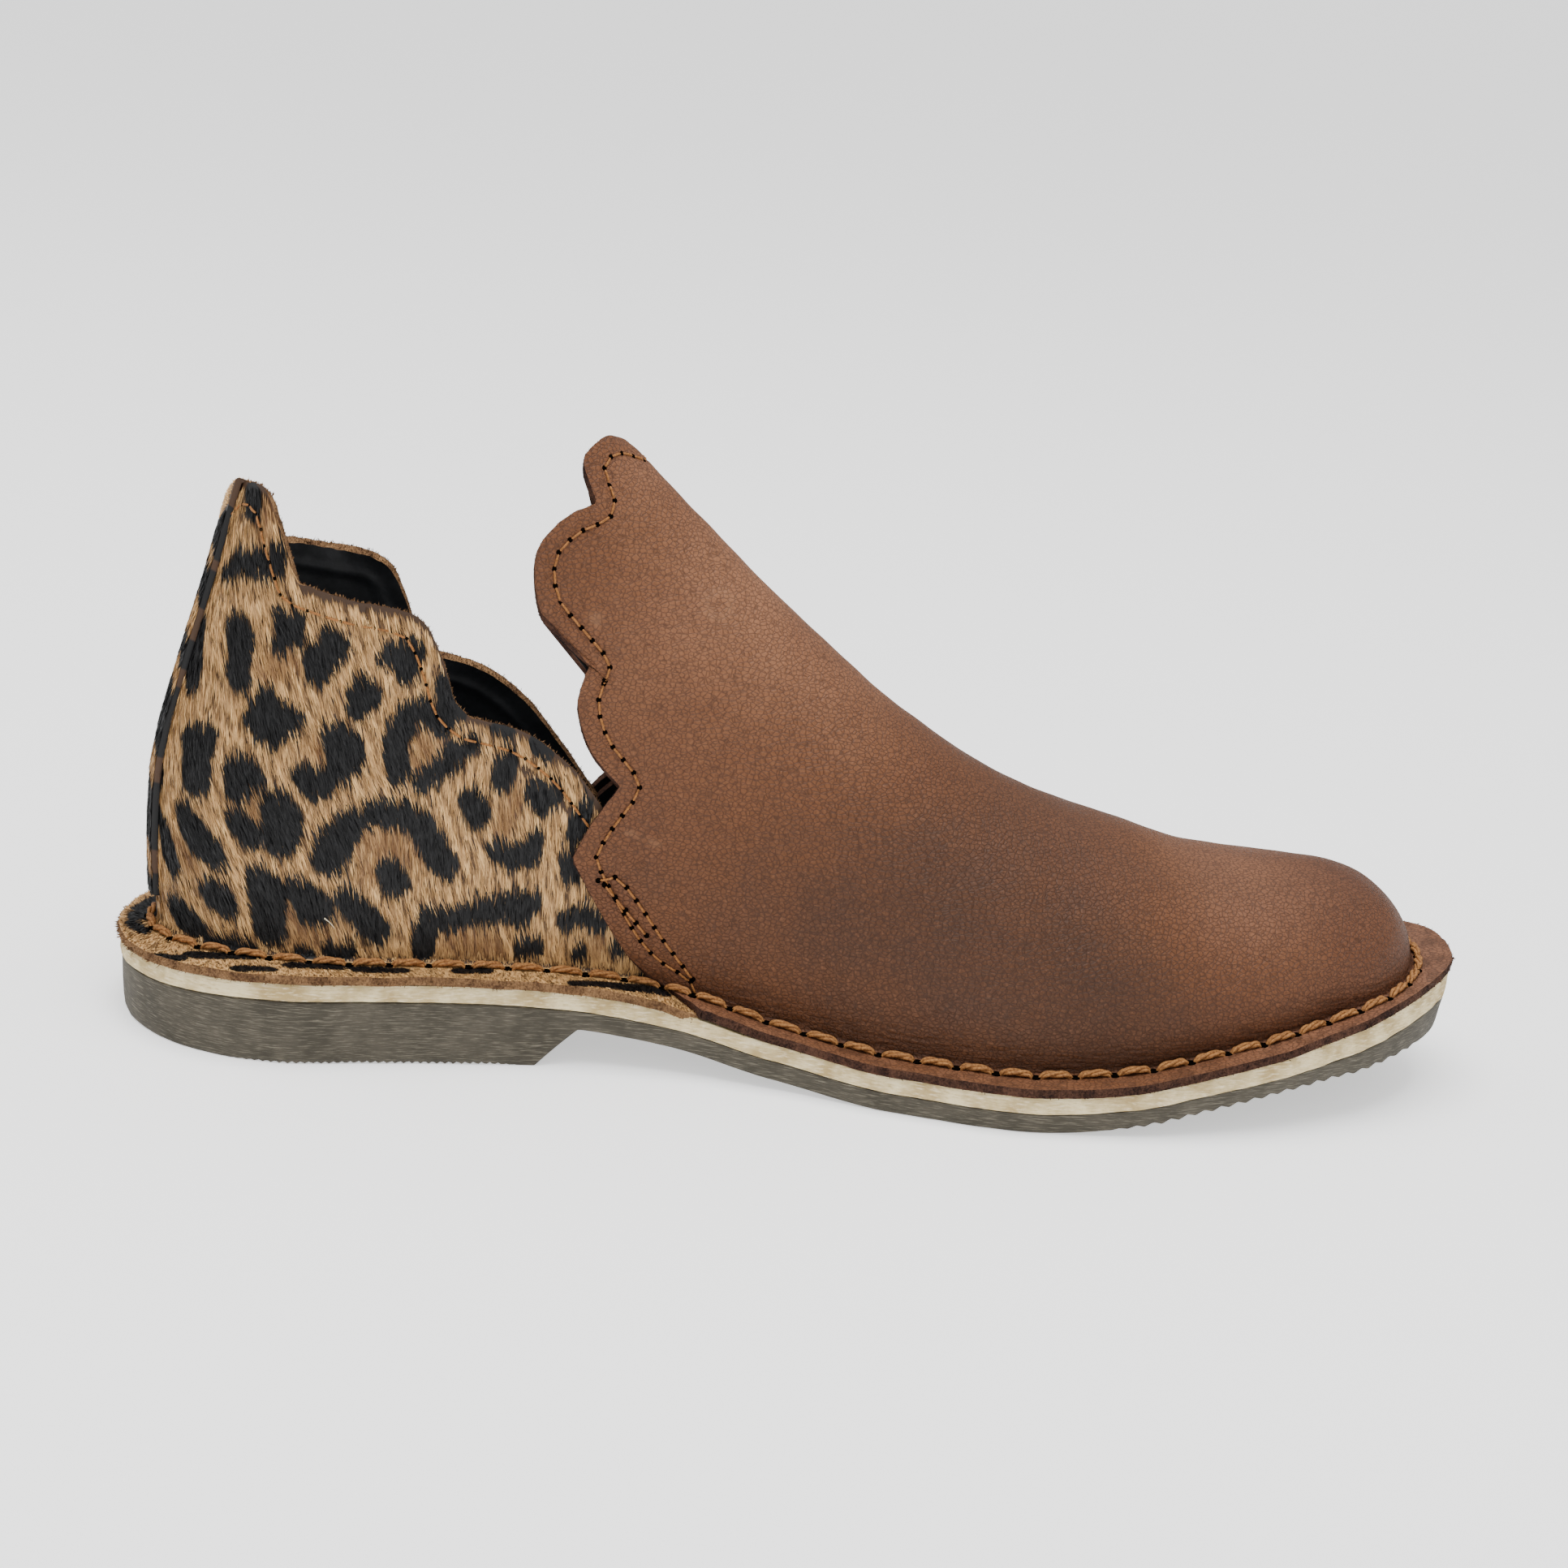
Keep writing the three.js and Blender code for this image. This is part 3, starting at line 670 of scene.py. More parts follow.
def thick_sheet(outer: Array, inner: Array, borders: str, mats: tuple, bulge: float, flip: bool) -> Build:
    """A closed sheet from its outer and inner grids.

    Args:
        outer: Grid of points of the outer face.
        inner: Grid of points of the inner face.
        borders: Which borders get a cut edge: any of t, b, l, r for first row, last row, first and last
            column. The others are seams or poles, which merge.
        mats: Material numbers of outer face, inner face and cut edge.
        bulge: How far the middle of a cut edge stands out, in millimetres.
        flip: Turns all faces round.

    Returns:
        The sheet. Its value "rim" is 1 in the middle of a cut edge.
    """
    rows, columns = outer.shape[:2]
    size = rows * columns
    number = np.arange(size).reshape(rows, columns)
    faces = [grid_faces(rows, columns, 0, flip), grid_faces(rows, columns, size, not flip)]
    materials = [np.full(len(faces[0]), mats[0]), np.full(len(faces[1]), mats[1])]
    points = [outer.reshape(-1, 3), inner.reshape(-1, 3)]
    rim = [np.zeros(2 * size)]
    lines = {
        "t": (number[0, :], number[1, :]),
        "b": (number[-1, ::-1], number[-2, ::-1]),
        "l": (number[::-1, 0], number[::-1, 1]),
        "r": (number[:, -1], number[:, -2]),
    }
    total = 2 * size
    flat_out, flat_in = points
    for border in borders:
        line, behind = lines[border]
        away = unit(flat_out[line] - flat_out[behind])
        loops = [line]
        for share in (0.3, 0.7):
            ring = flat_out[line] * (1 - share) + flat_in[line] * share + away * bulge
            points.append(ring)
            rim.append(np.ones(len(line)))
            loops.append(np.arange(len(line)) + total)
            total += len(line)
        loops.append(line + size)
        for first, second in zip(loops[:-1], loops[1:]):
            quads = strip_faces(first, second)
            quads = quads[:, ::-1] if flip else quads
            faces.append(quads)
            materials.append(np.full(len(quads), mats[2]))
    build = Build(np.vstack(points), np.vstack(faces), np.concatenate(materials))
    build.values["rim"] = np.concatenate(rim)
    return build


def spread_value(build: Build, grid_value: Array) -> Array:
    """Carries a value given on the outer grid to the whole sheet, by the nearest of its own vertices."""
    size = grid_value.size
    flat = grid_value.ravel()
    tail = np.zeros(len(build.points) - 2 * size)
    for start in range(0, len(tail), 400):
        part = build.points[2 * size + start :][:400]
        gaps = ((part[:, None, :] - build.points[None, :size, :]) ** 2).sum(-1)
        tail[start : start + len(part)] = flat[np.argmin(gaps, axis=1)]
    return np.concatenate([flat, flat, tail])


def distance_to(points: Array, line: Array) -> Array:
    """Distance from each point to a polyline.

    Args:
        points: Points, any leading shape.
        line: The polyline's points in order.

    Returns:
        The shortest distance to any of its segments, in millimetres.
    """
    flat = points.reshape(-1, 3)
    best = np.full(len(flat), np.inf)
    starts, steps = line[:-1], np.diff(line, axis=0)
    lengths = np.maximum((steps**2).sum(1), 1e-12)
    for first in range(0, len(starts), 40):
        s, d, n = starts[first : first + 40], steps[first : first + 40], lengths[first : first + 40]
        gap = flat[:, None, :] - s[None]
        t = np.clip((gap * d[None]).sum(-1) / n, 0, 1)
        off = gap - t[..., None] * d[None]
        best = np.minimum(best, (off**2).sum(-1).min(axis=1))
    return np.sqrt(best).reshape(points.shape[:-1])


def wave_noise(points: Array, size: float, seed: int, octaves: int = 3) -> Array:
    """Smooth noise from sums of sine waves in seeded directions.

    Args:
        points: Points in millimetres.
        size: Rough size of its lumps in millimetres.
        seed: Seed of the directions and phases.
        octaves: Number of halvings of the size.

    Returns:
        Values of about -1 to 1.
    """
    chance = np.random.default_rng(seed)
    total = np.zeros(points.shape[:-1])
    weight = 0.0
    for octave in range(octaves):
        scale = size / 2**octave
        directions = chance.normal(size=(6, 3))
        directions /= np.linalg.norm(directions, axis=1, keepdims=True)
        phases = chance.uniform(0, 2 * np.pi, 6)
        for direction, phase in zip(directions, phases):
            total += np.sin(points @ direction * (2 * np.pi / scale) + phase) / 2**octave
        weight += 6 / 2**octave / 2.2
    return np.clip(total / weight, -1, 1)


def resample(line: Array, step: float) -> Array:
    """Points along a polyline, evenly spaced by about a step, both ends kept."""
    gaps = np.linalg.norm(np.diff(line, axis=0), axis=1)
    line = line[np.concatenate([[True], gaps > 1e-6])]
    run = travelled(line)
    at = np.linspace(0, run[-1], max(int(round(run[-1] / step)), 1) + 1)
    return np.stack([np.interp(at, run, line[:, i]) for i in range(line.shape[1])], axis=1)


# ---- Materials


def linear(hex_value: str) -> tuple:
    """Turns an sRGB hex colour to linear red, green, blue and alpha."""
    channels = [int(hex_value[i : i + 2], 16) / 255 for i in (1, 3, 5)]
    turned = [c / 12.92 if c <= 0.04045 else ((c + 0.055) / 1.055) ** 2.4 for c in channels]
    return (*turned, 1.0)


def add_node(tree: bpy.types.NodeTree, kind: str, inputs: dict, **settings: object) -> bpy.types.Node:
    """Adds a node with its settings, values and links.

    Args:
        tree: The material's node tree.
        kind: The node's type, without the word ShaderNode in front.
        inputs: Name or number of an input to a value, to an output socket, or to a node, which means the
            first of its outputs that is switched on.
        settings: Properties of the node.

    Returns:
        The node.
    """
    node = tree.nodes.new("ShaderNode" + kind)
    for key, value in settings.items():
        setattr(node, key, value)
    for key, value in inputs.items():
        socket = node.inputs[key]
        if isinstance(value, bpy.types.Node):
            value = next(output for output in value.outputs if output.enabled)
        if isinstance(value, bpy.types.NodeSocket):
            tree.links.new(value, socket)
        else:
            socket.default_value = value
    return node


@dataclass
class Finish:
    """A material in the making: its tree, its shader and the place on the piece."""

    name: str
    material: bpy.types.Material = field(init=False)
    tree: bpy.types.NodeTree = field(init=False)
    shader: bpy.types.Node = field(init=False)
    place: bpy.types.NodeSocket = field(init=False)

    def __post_init__(self) -> None:
        """Starts the tree with a shader, its output and the Object coordinates."""
        self.material = bpy.data.materials.new(self.name)
        self.material.use_nodes = True
        self.tree = self.material.node_tree
        self.tree.nodes.clear()
        self.shader = self.add("BsdfPrincipled", {})
        self.add("OutputMaterial", {"Surface": self.shader})
        self.place = self.add("TexCoord", {}).outputs["Object"]

    def add(self, kind: str, inputs: dict, **settings: object) -> bpy.types.Node:
        """Adds a node to this finish's tree."""
        return add_node(self.tree, kind, inputs, **settings)

    def join(self, value: object, name: str) -> None:
        """Links a node or socket to one of the shader's inputs."""
        socket = value.outputs[0] if isinstance(value, bpy.types.Node) else value
        self.tree.links.new(socket, self.shader.inputs[name])

    def paint(self, base: str, layers: list) -> None:
        """Lays colours over a base one after the other, for the shader's base colour.

        Args:
            base: The lowest colour, as sRGB hex.
            layers: Pairs of a share and the colour that covers by that share, as sRGB hex or a socket.
        """
        under = linear(base)
        for share, over in layers:
            over = linear(over) if isinstance(over, str) else over
            under = self.add("Mix", {0: share, 6: under, 7: over}, data_type="RGBA").outputs[2]
        self.join(under, "Base Color")

    def fix(self, **values: float) -> None:
        """Sets plain values on the shader's own sockets, with _ for a space."""
        for key, value in values.items():
            self.shader.inputs[key.replace("_", " ")].default_value = value


@dataclass(frozen=True)
class VampLeather:
    """Full-grain cowhide, aniline dyed tan and lightly waxed: a soft satin with a fine pebbled grain.

    Its zones come from attributes: "painted_shading" for painted highlights and painted shade,
    "wine_dye_and_shade" for the purple-brown dyed toe and edges and for painted shade at the foot of the
    wall, "mark" for pale scuffs, and "crease" for the fine wrinkles over the flange, with painted shade in
    their hollows.
    """

    name: str = "full_grain_vamp_leather"
    base: str = "#643D23"
    light: str = "#8E6145"
    dark: str = "#3F2617"
    wine_dye_and_shade: str = "#4A2A20"
    pale: str = "#A87E5E"
    hollow: str = "#28170E"
    grain_mm: float = 0.62

    def make(self) -> bpy.types.Material:
        """Builds the material.

        Returns:
            The material. Clouds of 14 mm and mottles of 1.8 mm vary the dyed colour, flecks of 0.55 mm sit in
            the grain's hollows, dark lines run round pebbles of 1.1 mm, and folds of 5 mm by 0.8 mm lie over
            the flange, with painted shade in their hollows. The grain itself is cells of 0.62 mm.
        """
        f = Finish(self.name)
        painted_shading, wine_dye_and_shade, mark, crease = (
            f.add("Attribute", {}, attribute_name=name).outputs["Fac"]
            for name in ("painted_shading", "wine_dye_and_shade", "mark", "crease")
        )
        cloud, mottle, fleck = (
            f.add("TexNoise", {"Vector": f.place, "Scale": 1000 / size, "Detail": detail, "Roughness": rough})
            for size, detail, rough in ((14.0, 3.0, 0.6), (1.8, 3.0, 0.65), (0.55, 2.0, 0.6))
        )
        cells = f.add("TexVoronoi", {"Vector": f.place, "Scale": 1000 / self.grain_mm}, feature="SMOOTH_F1")
        # The clouds and mottles vary the leather's own colour; the zones added here are painted highlights
        # and painted shade.
        mixed = f.add("Math", {0: cloud, 1: 0.5, 2: painted_shading}, operation="MULTIPLY_ADD")
        mixed = f.add("Math", {0: mottle, 1: 0.25, 2: mixed}, operation="MULTIPLY_ADD")
        high, low = (
            f.add("MapRange", {"Value": mixed, "From Min": a, "From Max": b}, interpolation_type="SMOOTHSTEP")
            for a, b in ((0.3, 1.25), (0.5, -0.35))
        )
        # Purple-brown: dyed at the toe and edges, painted shade at the foot of the wall.
        wine_and_shade_share = f.add("Math", {0: wine_dye_and_shade, 1: 0.85}, operation="MULTIPLY", use_clamp=True)
        pits = f.add("MapRange", {"Value": fleck, "From Min": 0.5, "From Max": 0.68, "To Max": 0.4})
        tops = f.add("MapRange", {"Value": fleck, "From Min": 0.47, "From Max": 0.3, "To Max": 0.2})
        pebbles, folds = (
            f.add("Mapping", {"Vector": f.place, "Scale": (size, size, 0.0008)}, vector_type="TEXTURE")
            for size in (0.0011, 0.005)
        )
        pebbles = f.add("TexVoronoi", {"Vector": pebbles, "Scale": 1.0}, feature="DISTANCE_TO_EDGE")
        line = f.add("MapRange", {"Value": pebbles, "From Min": 0.15, "From Max": 0.0, "To Max": 0.55})
        scuff = f.add("Math", {0: mark, 1: mottle}, operation="MULTIPLY")
        folds = f.add("TexNoise", {"Vector": folds, "Scale": 1.0, "Detail": 2.0})
        # Painted shade in the hollows of the folds over the flange.
        deep = f.add("MapRange", {"Value": folds, "From Min": 0.5, "From Max": 0.36, "To Max": 0.6})
        deep = f.add("Math", {0: deep, 1: crease}, operation="MULTIPLY")
        dye_and_painted_light = [(high, self.light), (low, self.dark), (wine_and_shade_share, self.wine_dye_and_shade)]
        grains = [(pits, self.dark), (tops, self.light), (line, self.hollow)]
        f.paint(self.base, [*dye_and_painted_light, *grains, (scuff, self.pale), (deep, self.dark)])
        spread = {"Value": cloud, "From Min": 0.3, "From Max": 0.7, "To Min": 0.5, "To Max": 0.64}
        f.join(f.add("MapRange", spread), "Roughness")
        folds = f.add("Math", {0: folds, 1: crease}, operation="MULTIPLY")
        grain = f.add("Math", {0: cells, 1: 0.5, 2: fleck}, operation="MULTIPLY_ADD")
        grain = f.add("Math", {0: line, 1: -1.2, 2: grain}, operation="MULTIPLY_ADD")
        grain = f.add("Math", {0: folds, 1: 4.0, 2: grain}, operation="MULTIPLY_ADD")
        f.join(f.add("Bump", {"Height": grain, "Distance": 0.00016, "Strength": 0.85}), "Normal")
        f.fix(IOR=1.45, Specular_IOR_Level=0.29)
        return f.material


@dataclass(frozen=True)
class CutEdge:
    """The raw cut edge of a hide: a matt felt of fibres, lighter or darker by its leather."""

    name: str
    base: str
    dark: str

    def make(self) -> bpy.types.Material:
        """Builds the material. Its fibres are noise of 0.4 mm, its stains noise of 3 mm."""
        f = Finish(self.name)
        fibre, stain = (
            f.add("TexNoise", {"Vector": f.place, "Scale": 1000 / size, "Detail": 3.0}) for size in (0.4, 3.0)
        )
        mixed = f.add("Math", {0: fibre, 1: stain}, operation="ADD")
        mixed = f.add("MapRange", {"Value": mixed, "From Min": 0.75, "From Max": 1.25})
        f.paint(self.dark, [(mixed, self.base)])
        f.join(f.add("Bump", {"Height": fibre, "Distance": 0.0004, "Strength": 0.9}), "Normal")
        f.fix(Roughness=0.95, Specular_IOR_Level=0.15)
        return f.material


@dataclass(frozen=True)
class HairOnHide:
    """Calf hide with its short hair on, printed with leopard spots: the hair lies flat and shines a little.

    The attribute "spot" is the distance to the nearest black spot's edge and "rosette" that to the nearest
    brown centre's edge, in millimetres. "shade" is each hair's own lightness and "tip" runs from 0 at its
    root to 1 at its tip, the root end keeping the root colour, a painted shade between hairs. The skin below
    has shade 0 and so takes that painted shade, as dark as the gaps between hairs.
    """

    name: str = "printed_hair_on_hide"
    # The root colour is painted shade between the hairs, on their roots and on the skin below.
    root: str = "#3A2718"
    light: str = "#B08455"
    bright: str = "#EDC181"
    brown: str = "#6E4A2C"
    black: str = "#09090A"
    sheen: str = "#1E1E20"

    def make(self) -> bpy.types.Material:
        """Builds the material. All its pattern is in the attributes, so that it follows the hairs."""
        f = Finish(self.name)
        spot, rosette, shade, tip = (
            f.add("Attribute", {}, attribute_name=name).outputs["Fac"]
            for name in ("spot", "rosette", "shade", "tip")
        )
        inside = f.add("MapRange", {"Value": spot, "From Min": 0.2, "From Max": -0.2})
        middle = f.add("MapRange", {"Value": rosette, "From Min": 1.4, "From Max": -1.8})
        amount = f.add("Math", {0: shade, 1: tip}, operation="MULTIPLY")
        bright = f.add("Math", {0: amount, 1: shade}, operation="MULTIPLY")
        amount = f.add("MapRange", {"Value": amount, "From Min": 0.0, "From Max": 0.6})
        warm = f.add("Math", {0: middle, 1: 0.62}, operation="MULTIPLY")
        deep = f.add("Math", {0: bright, 1: 0.5}, operation="MULTIPLY")
        deep = f.add("Mix", {0: deep, 6: linear(self.black), 7: linear(self.sheen)}, data_type="RGBA")
        over = [(amount, self.light), (bright, self.bright), (warm, self.brown), (inside, deep.outputs[2])]
        f.paint(self.root, over)
        f.fix(Roughness=0.5, Specular_IOR_Level=0.3)
        return f.material


@dataclass(frozen=True)
class Plain:
    """A finish with one mottled colour, a size of mottling and a bump, such as lining or thread."""

    name: str
    base: str
    dark: str
    size_mm: float
    roughness: float
    depth_mm: float
    gloss: float = 0.4

    def make(self) -> bpy.types.Material:
        """Builds the material from one noise of the given size."""
        f = Finish(self.name)
        mottle = f.add("TexNoise", {"Vector": f.place, "Scale": 1000 / self.size_mm, "Detail": 4.0})
        share = f.add("MapRange", {"Value": mottle, "From Min": 0.35, "From Max": 0.65})
        f.paint(self.dark, [(share, self.base)])
        bump = {"Height": mottle, "Distance": self.depth_mm * METRE, "Strength": 0.8}
        f.join(f.add("Bump", bump), "Normal")
        f.fix(Roughness=self.roughness, Specular_IOR_Level=self.gloss)
        return f.material


@dataclass(frozen=True)
class Streaked:
    """A moulded or skived layer with streaks along its edge: taupe sole rubber or cream leatherboard."""

    name: str
    base: str
    dark: str
    pale: str
    streak_mm: tuple
    roughness: float
    depth_mm: float
    share: float

    def make(self) -> bpy.types.Material:
        """Builds the material. The streaks are noise stretched along the edge, pale ones over a mottle."""
        f = Finish(self.name)
        along, up = self.streak_mm[0] * METRE, self.streak_mm[1] * METRE
        lines = f.add("Mapping", {"Vector": f.place, "Scale": (along, along, up)}, vector_type="TEXTURE")
        streak = f.add("TexNoise", {"Vector": lines, "Scale": 1.0, "Detail": 3.0, "Roughness": 0.6})
        mottle = f.add("TexNoise", {"Vector": f.place, "Scale": 1 / 0.006, "Detail": 4.0})
        grit = f.add("TexNoise", {"Vector": f.place, "Scale": 1 / 0.0005, "Detail": 3.0})
        base = f.add("MapRange", {"Value": mottle, "From Min": 0.35, "From Max": 0.65})
        high, low = (
            f.add("MapRange", {"Value": streak, "From Min": a, "From Max": b, "To Max": self.share})
            for a, b in ((0.52, 0.72), (0.46, 0.3))
        )
        f.paint(self.dark, [(base, self.base), (high, self.pale), (low, self.dark)])
        height = f.add("Math", {0: grit, 1: 0.4, 2: streak}, operation="MULTIPLY_ADD")
        bump = {"Height": height, "Distance": self.depth_mm * METRE, "Strength": 0.8}
        f.join(f.add("Bump", bump), "Normal")
        f.fix(Roughness=self.roughness, Specular_IOR_Level=0.25)
        return f.material


@dataclass
class Finishes:
    """Every finish of the shoe, made once."""

    vamp: bpy.types.Material = None
    hide: bpy.types.Material = None
    vamp_edge: bpy.types.Material = None
    hide_edge: bpy.types.Material = None
    strip_edge: bpy.types.Material = None
    lining: bpy.types.Material = None
    thread: bpy.types.Material = None
    fine_thread: bpy.types.Material = None
    hole: bpy.types.Material = None
    bristle: bpy.types.Material = None
    midsole: bpy.types.Material = None
    outsole: bpy.types.Material = None

    def make(self) -> "Finishes":
        """Builds all the materials."""
        self.vamp = VampLeather().make()
        self.hide = HairOnHide().make()
        # Vegetable tanned core under a dyed face: a warm brown felt.
        self.vamp_edge = CutEdge("raw_edge_of_vamp", "#553A2D", "#251714").make()
        self.hide_edge = CutEdge("raw_edge_of_hide", "#92704E", "#553C2A").make()
        self.strip_edge = CutEdge("raw_edge_of_back_strip", "#40301F", "#15110D").make()
        # Finished black lining leather: smooth and a little glossy.
        self.lining = Plain("black_lining_leather", "#17181B", "#101113", 1.2, 0.45, 0.05).make()
        # Waxed polyester cord: orange tan, with the sheen of wax.
        self.thread = Plain("waxed_flange_cord", "#AE7A46", "#764B28", 0.45, 0.65, 0.15, 0.25).make()
        self.fine_thread = Plain("fine_seam_thread", "#A06A38", "#74481F", 0.4, 0.65, 0.08, 0.3).make()
        self.hole = Plain("shadow_in_needle_hole", "#0C0806", "#060403", 0.5, 0.95, 0.02, 0.0).make()
        self.bristle = Plain("pale_guard_hair", "#DACFB8", "#B7A88C", 0.8, 0.5, 0.01).make()
        # Skived leatherboard: cream, matt and fibrous.
        cream = ("cream_leatherboard", "#E2D0A2", "#AE9668", "#F0E2BF")
        self.midsole = Streaked(*cream, (2.0, 0.4), 0.9, 0.2, 0.75).make()
        # Moulded thermoplastic rubber, buffed at the edge: taupe with fine pale scratches.
        taupe = ("taupe_sole_rubber", "#4B463C", "#3C382F", "#827B6B")
        self.outsole = Streaked(*taupe, (3.2, 0.16), 0.75, 0.08, 0.7).make()
        return self


# ---- The spots of the hide: distance along the foot, height and radius, to half a millimetre
# They were placed by eye on the photo, and a scratch program turned those places to the hide's.

SPOTS: tuple = (
    ((12, 89.5, 1.5), (14.5, 88, 2), (16, 86, 1.5)),
    ((11, 74, 1.5), (15, 76.5, 2.5), (19.5, 77.5, 2.5), (23.5, 77, 2), (24, 80, 1.5)),
    ((7, 63, 1.5), (8, 57.5, 2.5), (9.5, 53.5, 2.5), (10.5, 51.5, 1.5)),
    ((18, 65, 2), (20, 62.5, 2.5), (20.5, 60.5, 2), (20.5, 56.5, 2), (22, 54.5, 1.5)),
    ((26.5, 68.5, 1),),
    ((30, 68.5, 1), (29, 65.5, 2.5), (28, 62.5, 1.5)),
    ((36, 66.5, 1), (37.5, 63.5, 2), (35.5, 62, 3), (35, 57.5, 1.5)),
    ((47, 61.5, 1.5), (49.5, 62.5, 2.5), (52.5, 63.5, 2), (51.5, 59.5, 2)),
    ((42, 57.5, 1), (43, 54.5, 3), (42, 51.5, 1.5)),
    ((27, 53.5, 1), (27, 48.5, 3), (30.5, 48.5, 3), (28.5, 45, 2)),
    ((13.5, 42, 2), (17.5, 43, 2), (16, 38.5, 3), (17, 33.5, 2.5)),
    ((4, 34, 1.5), (6, 31.5, 1.5)),
    ((24.5, 38.5, 2), (25.5, 36.5, 3), (25, 33, 1.5)),
    (
        (38.5, 47, 1.5), (40, 45, 2.5), (41, 42, 2.5), (39, 39, 2), (37, 36.5, 2), (34.5, 38.5, 1.5),
        (36.5, 35, 1.5),
    ),
    ((31, 32, 2), (32, 29.5, 2.5), (32, 25.5, 2.5), (32, 23, 1.5)),
    ((25, 28, 1.5), (26.5, 26, 2), (27.5, 24, 1.5)),
    ((4.5, 25.5, 1.5), (9, 21.5, 1.5), (11, 17, 2), (12.5, 15, 1.5)),
    ((14.5, 27.5, 1.5), (17, 24, 2.5), (20, 20.5, 2.5), (22, 18.5, 1.5)),
    (
        (39, 21, 2), (40, 25.5, 2.5), (42, 29, 2.5), (46, 31.5, 2.5), (51.5, 31.5, 2.5), (55.5, 30, 2.5),
        (59.5, 25, 2.5), (62, 21, 2.5),
    ),
    ((50.5, 19.5, 2.5), (52, 17, 2.5)),
    ((29.5, 16.5, 2), (30.5, 13, 2.5), (30.5, 9.5, 2), (31, 5, 2)),
    ((32.5, 14.5, 2), (35, 15, 2), (37, 12.5, 2.5), (37.5, 9.5, 2)),
    ((21, 12.5, 2), (22.5, 11, 2.5), (24, 8.5, 1.5)),
    ((13, 7, 2), (15.5, 5, 2.5), (17.5, 4, 2)),
    ((42, 13.5, 2), (45, 10.5, 2.5), (48.5, 7, 2.5)),
    ((21, 1.5, 1), (25.5, 1.5, 1.5), (27.5, 1.5, 1)),
    ((36, 1.5, 1),),
    ((40.5, 3, 1.5), (42.5, 3, 1.5)),
    ((51, 39.5, 2), (50, 43.5, 2), (50.5, 47.5, 2.5), (52.5, 51, 2.5), (56, 52, 2.5), (59, 49.5, 2.5)),
    ((56.5, 38, 2), (60, 41, 2), (63.5, 44, 2), (66, 46, 1.5)),
    ((59, 57, 1), (60.5, 54, 1.5), (63, 51, 1)),
    ((74.5, 43, 2), (73.5, 39.5, 2.5)),
    ((67, 34.5, 2.5), (68.5, 31.5, 2.5)),
    ((81.5, 36.5, 2), (86, 36.5, 2.5), (84, 34.5, 2)),
    ((73.5, 24.5, 2), (77, 23.5, 2.5), (81.5, 24.5, 2.5), (83, 28, 1.5)),
    ((81.5, 46, 1.5), (84, 44.5, 1.5)),
    ((71.5, 48.5, 1), (74.5, 48, 1)),
    ((95, 34.5, 1.5), (93.5, 31, 2), (92.5, 28.5, 1.5)),
    ((91, 24, 1.5), (92.5, 21, 2)),
    ((58, 6, 2), (60, 9.5, 2.5), (65, 10, 2.5), (70.5, 12, 2.5), (76, 13, 3), (82, 14, 2.5)),
    ((80.5, 11, 2), (83, 15, 2)),
    ((58.5, 3.5, 2),),
    ((81, 4.5, 1.5), (84.5, 5, 2)),
    ((92.5, 11, 2), (96, 12.5, 2), (100, 11.5, 2)),
    ((96, 4.5, 1.5),),
    ((105.5, 6, 1.5),),
    ((113.5, 1, 1.5),),
    ((3, -5, 1), (7, -4, 1)),
    ((0, -4.5, 1), (2, 4, 1)),
    ((17.5, -10, 1), (19.5, -9, 1)),
    ((21, -5.5, 1.5), (28.5, -1.5, 1)),
    ((29, -9, 1), (32, -7.5, 1)),
    ((35, -4, 1), (41.5, -3, 1)),
    ((45, -4, 1), (54.5, -4.5, 1)),
    ((66.5, -4, 1), (73, -3.5, 1)),
    ((95, -7.5, 1), (104, -6, 1.5), (117, -4, 1.5)),
)
ROSETTES: tuple = (
    ((27, 58, 2), (30.5, 59.5, 1.5)),
    ((36.5, 43, 1.5),),
    ((27.5, 29.5, 1.5), (28.5, 32, 1.5)),
    ((14, 20, 1.5), (17, 16.5, 1.5)),
    ((45, 24.5, 2), (50, 25.5, 2.5), (55.5, 23.5, 2), (46, 19, 1.5)),
    ((56.5, 44.5, 2.5), (55, 41.5, 1.5)),
    ((76, 32.5, 2), (77, 35.5, 1.5), (74.5, 29, 1.5)),
    ((33.5, 9.5, 1.5), (34.5, 5, 2), (38.5, 5, 1.5)),
    ((65.5, 5, 2.5), (70.5, 5, 2.5), (75.5, 4, 1.5)),
    ((100.5, 7, 2),),
    ((7.5, 7.5, 2),),
    ((19, 85, 2.5), (19, 82, 1.5)),
)
# What all their radii grow by.
SWELL = 0.75


def other_side(strokes: tuple) -> tuple:
    """The strokes for the lateral side, moved and swayed so that it doesn't mirror the medial one."""
    moved = []
    for stroke in strokes:
        turned = []
        for u, v, r in stroke:
            sway = 4.0 * math.sin(u / 13.0)
            turned.append((-(u + 3.0 + 3.5 * math.sin(v / 9.0)), v if v < 2 else v + sway, r * 1.04))
        moved.append(tuple(turned))
    return tuple(moved)


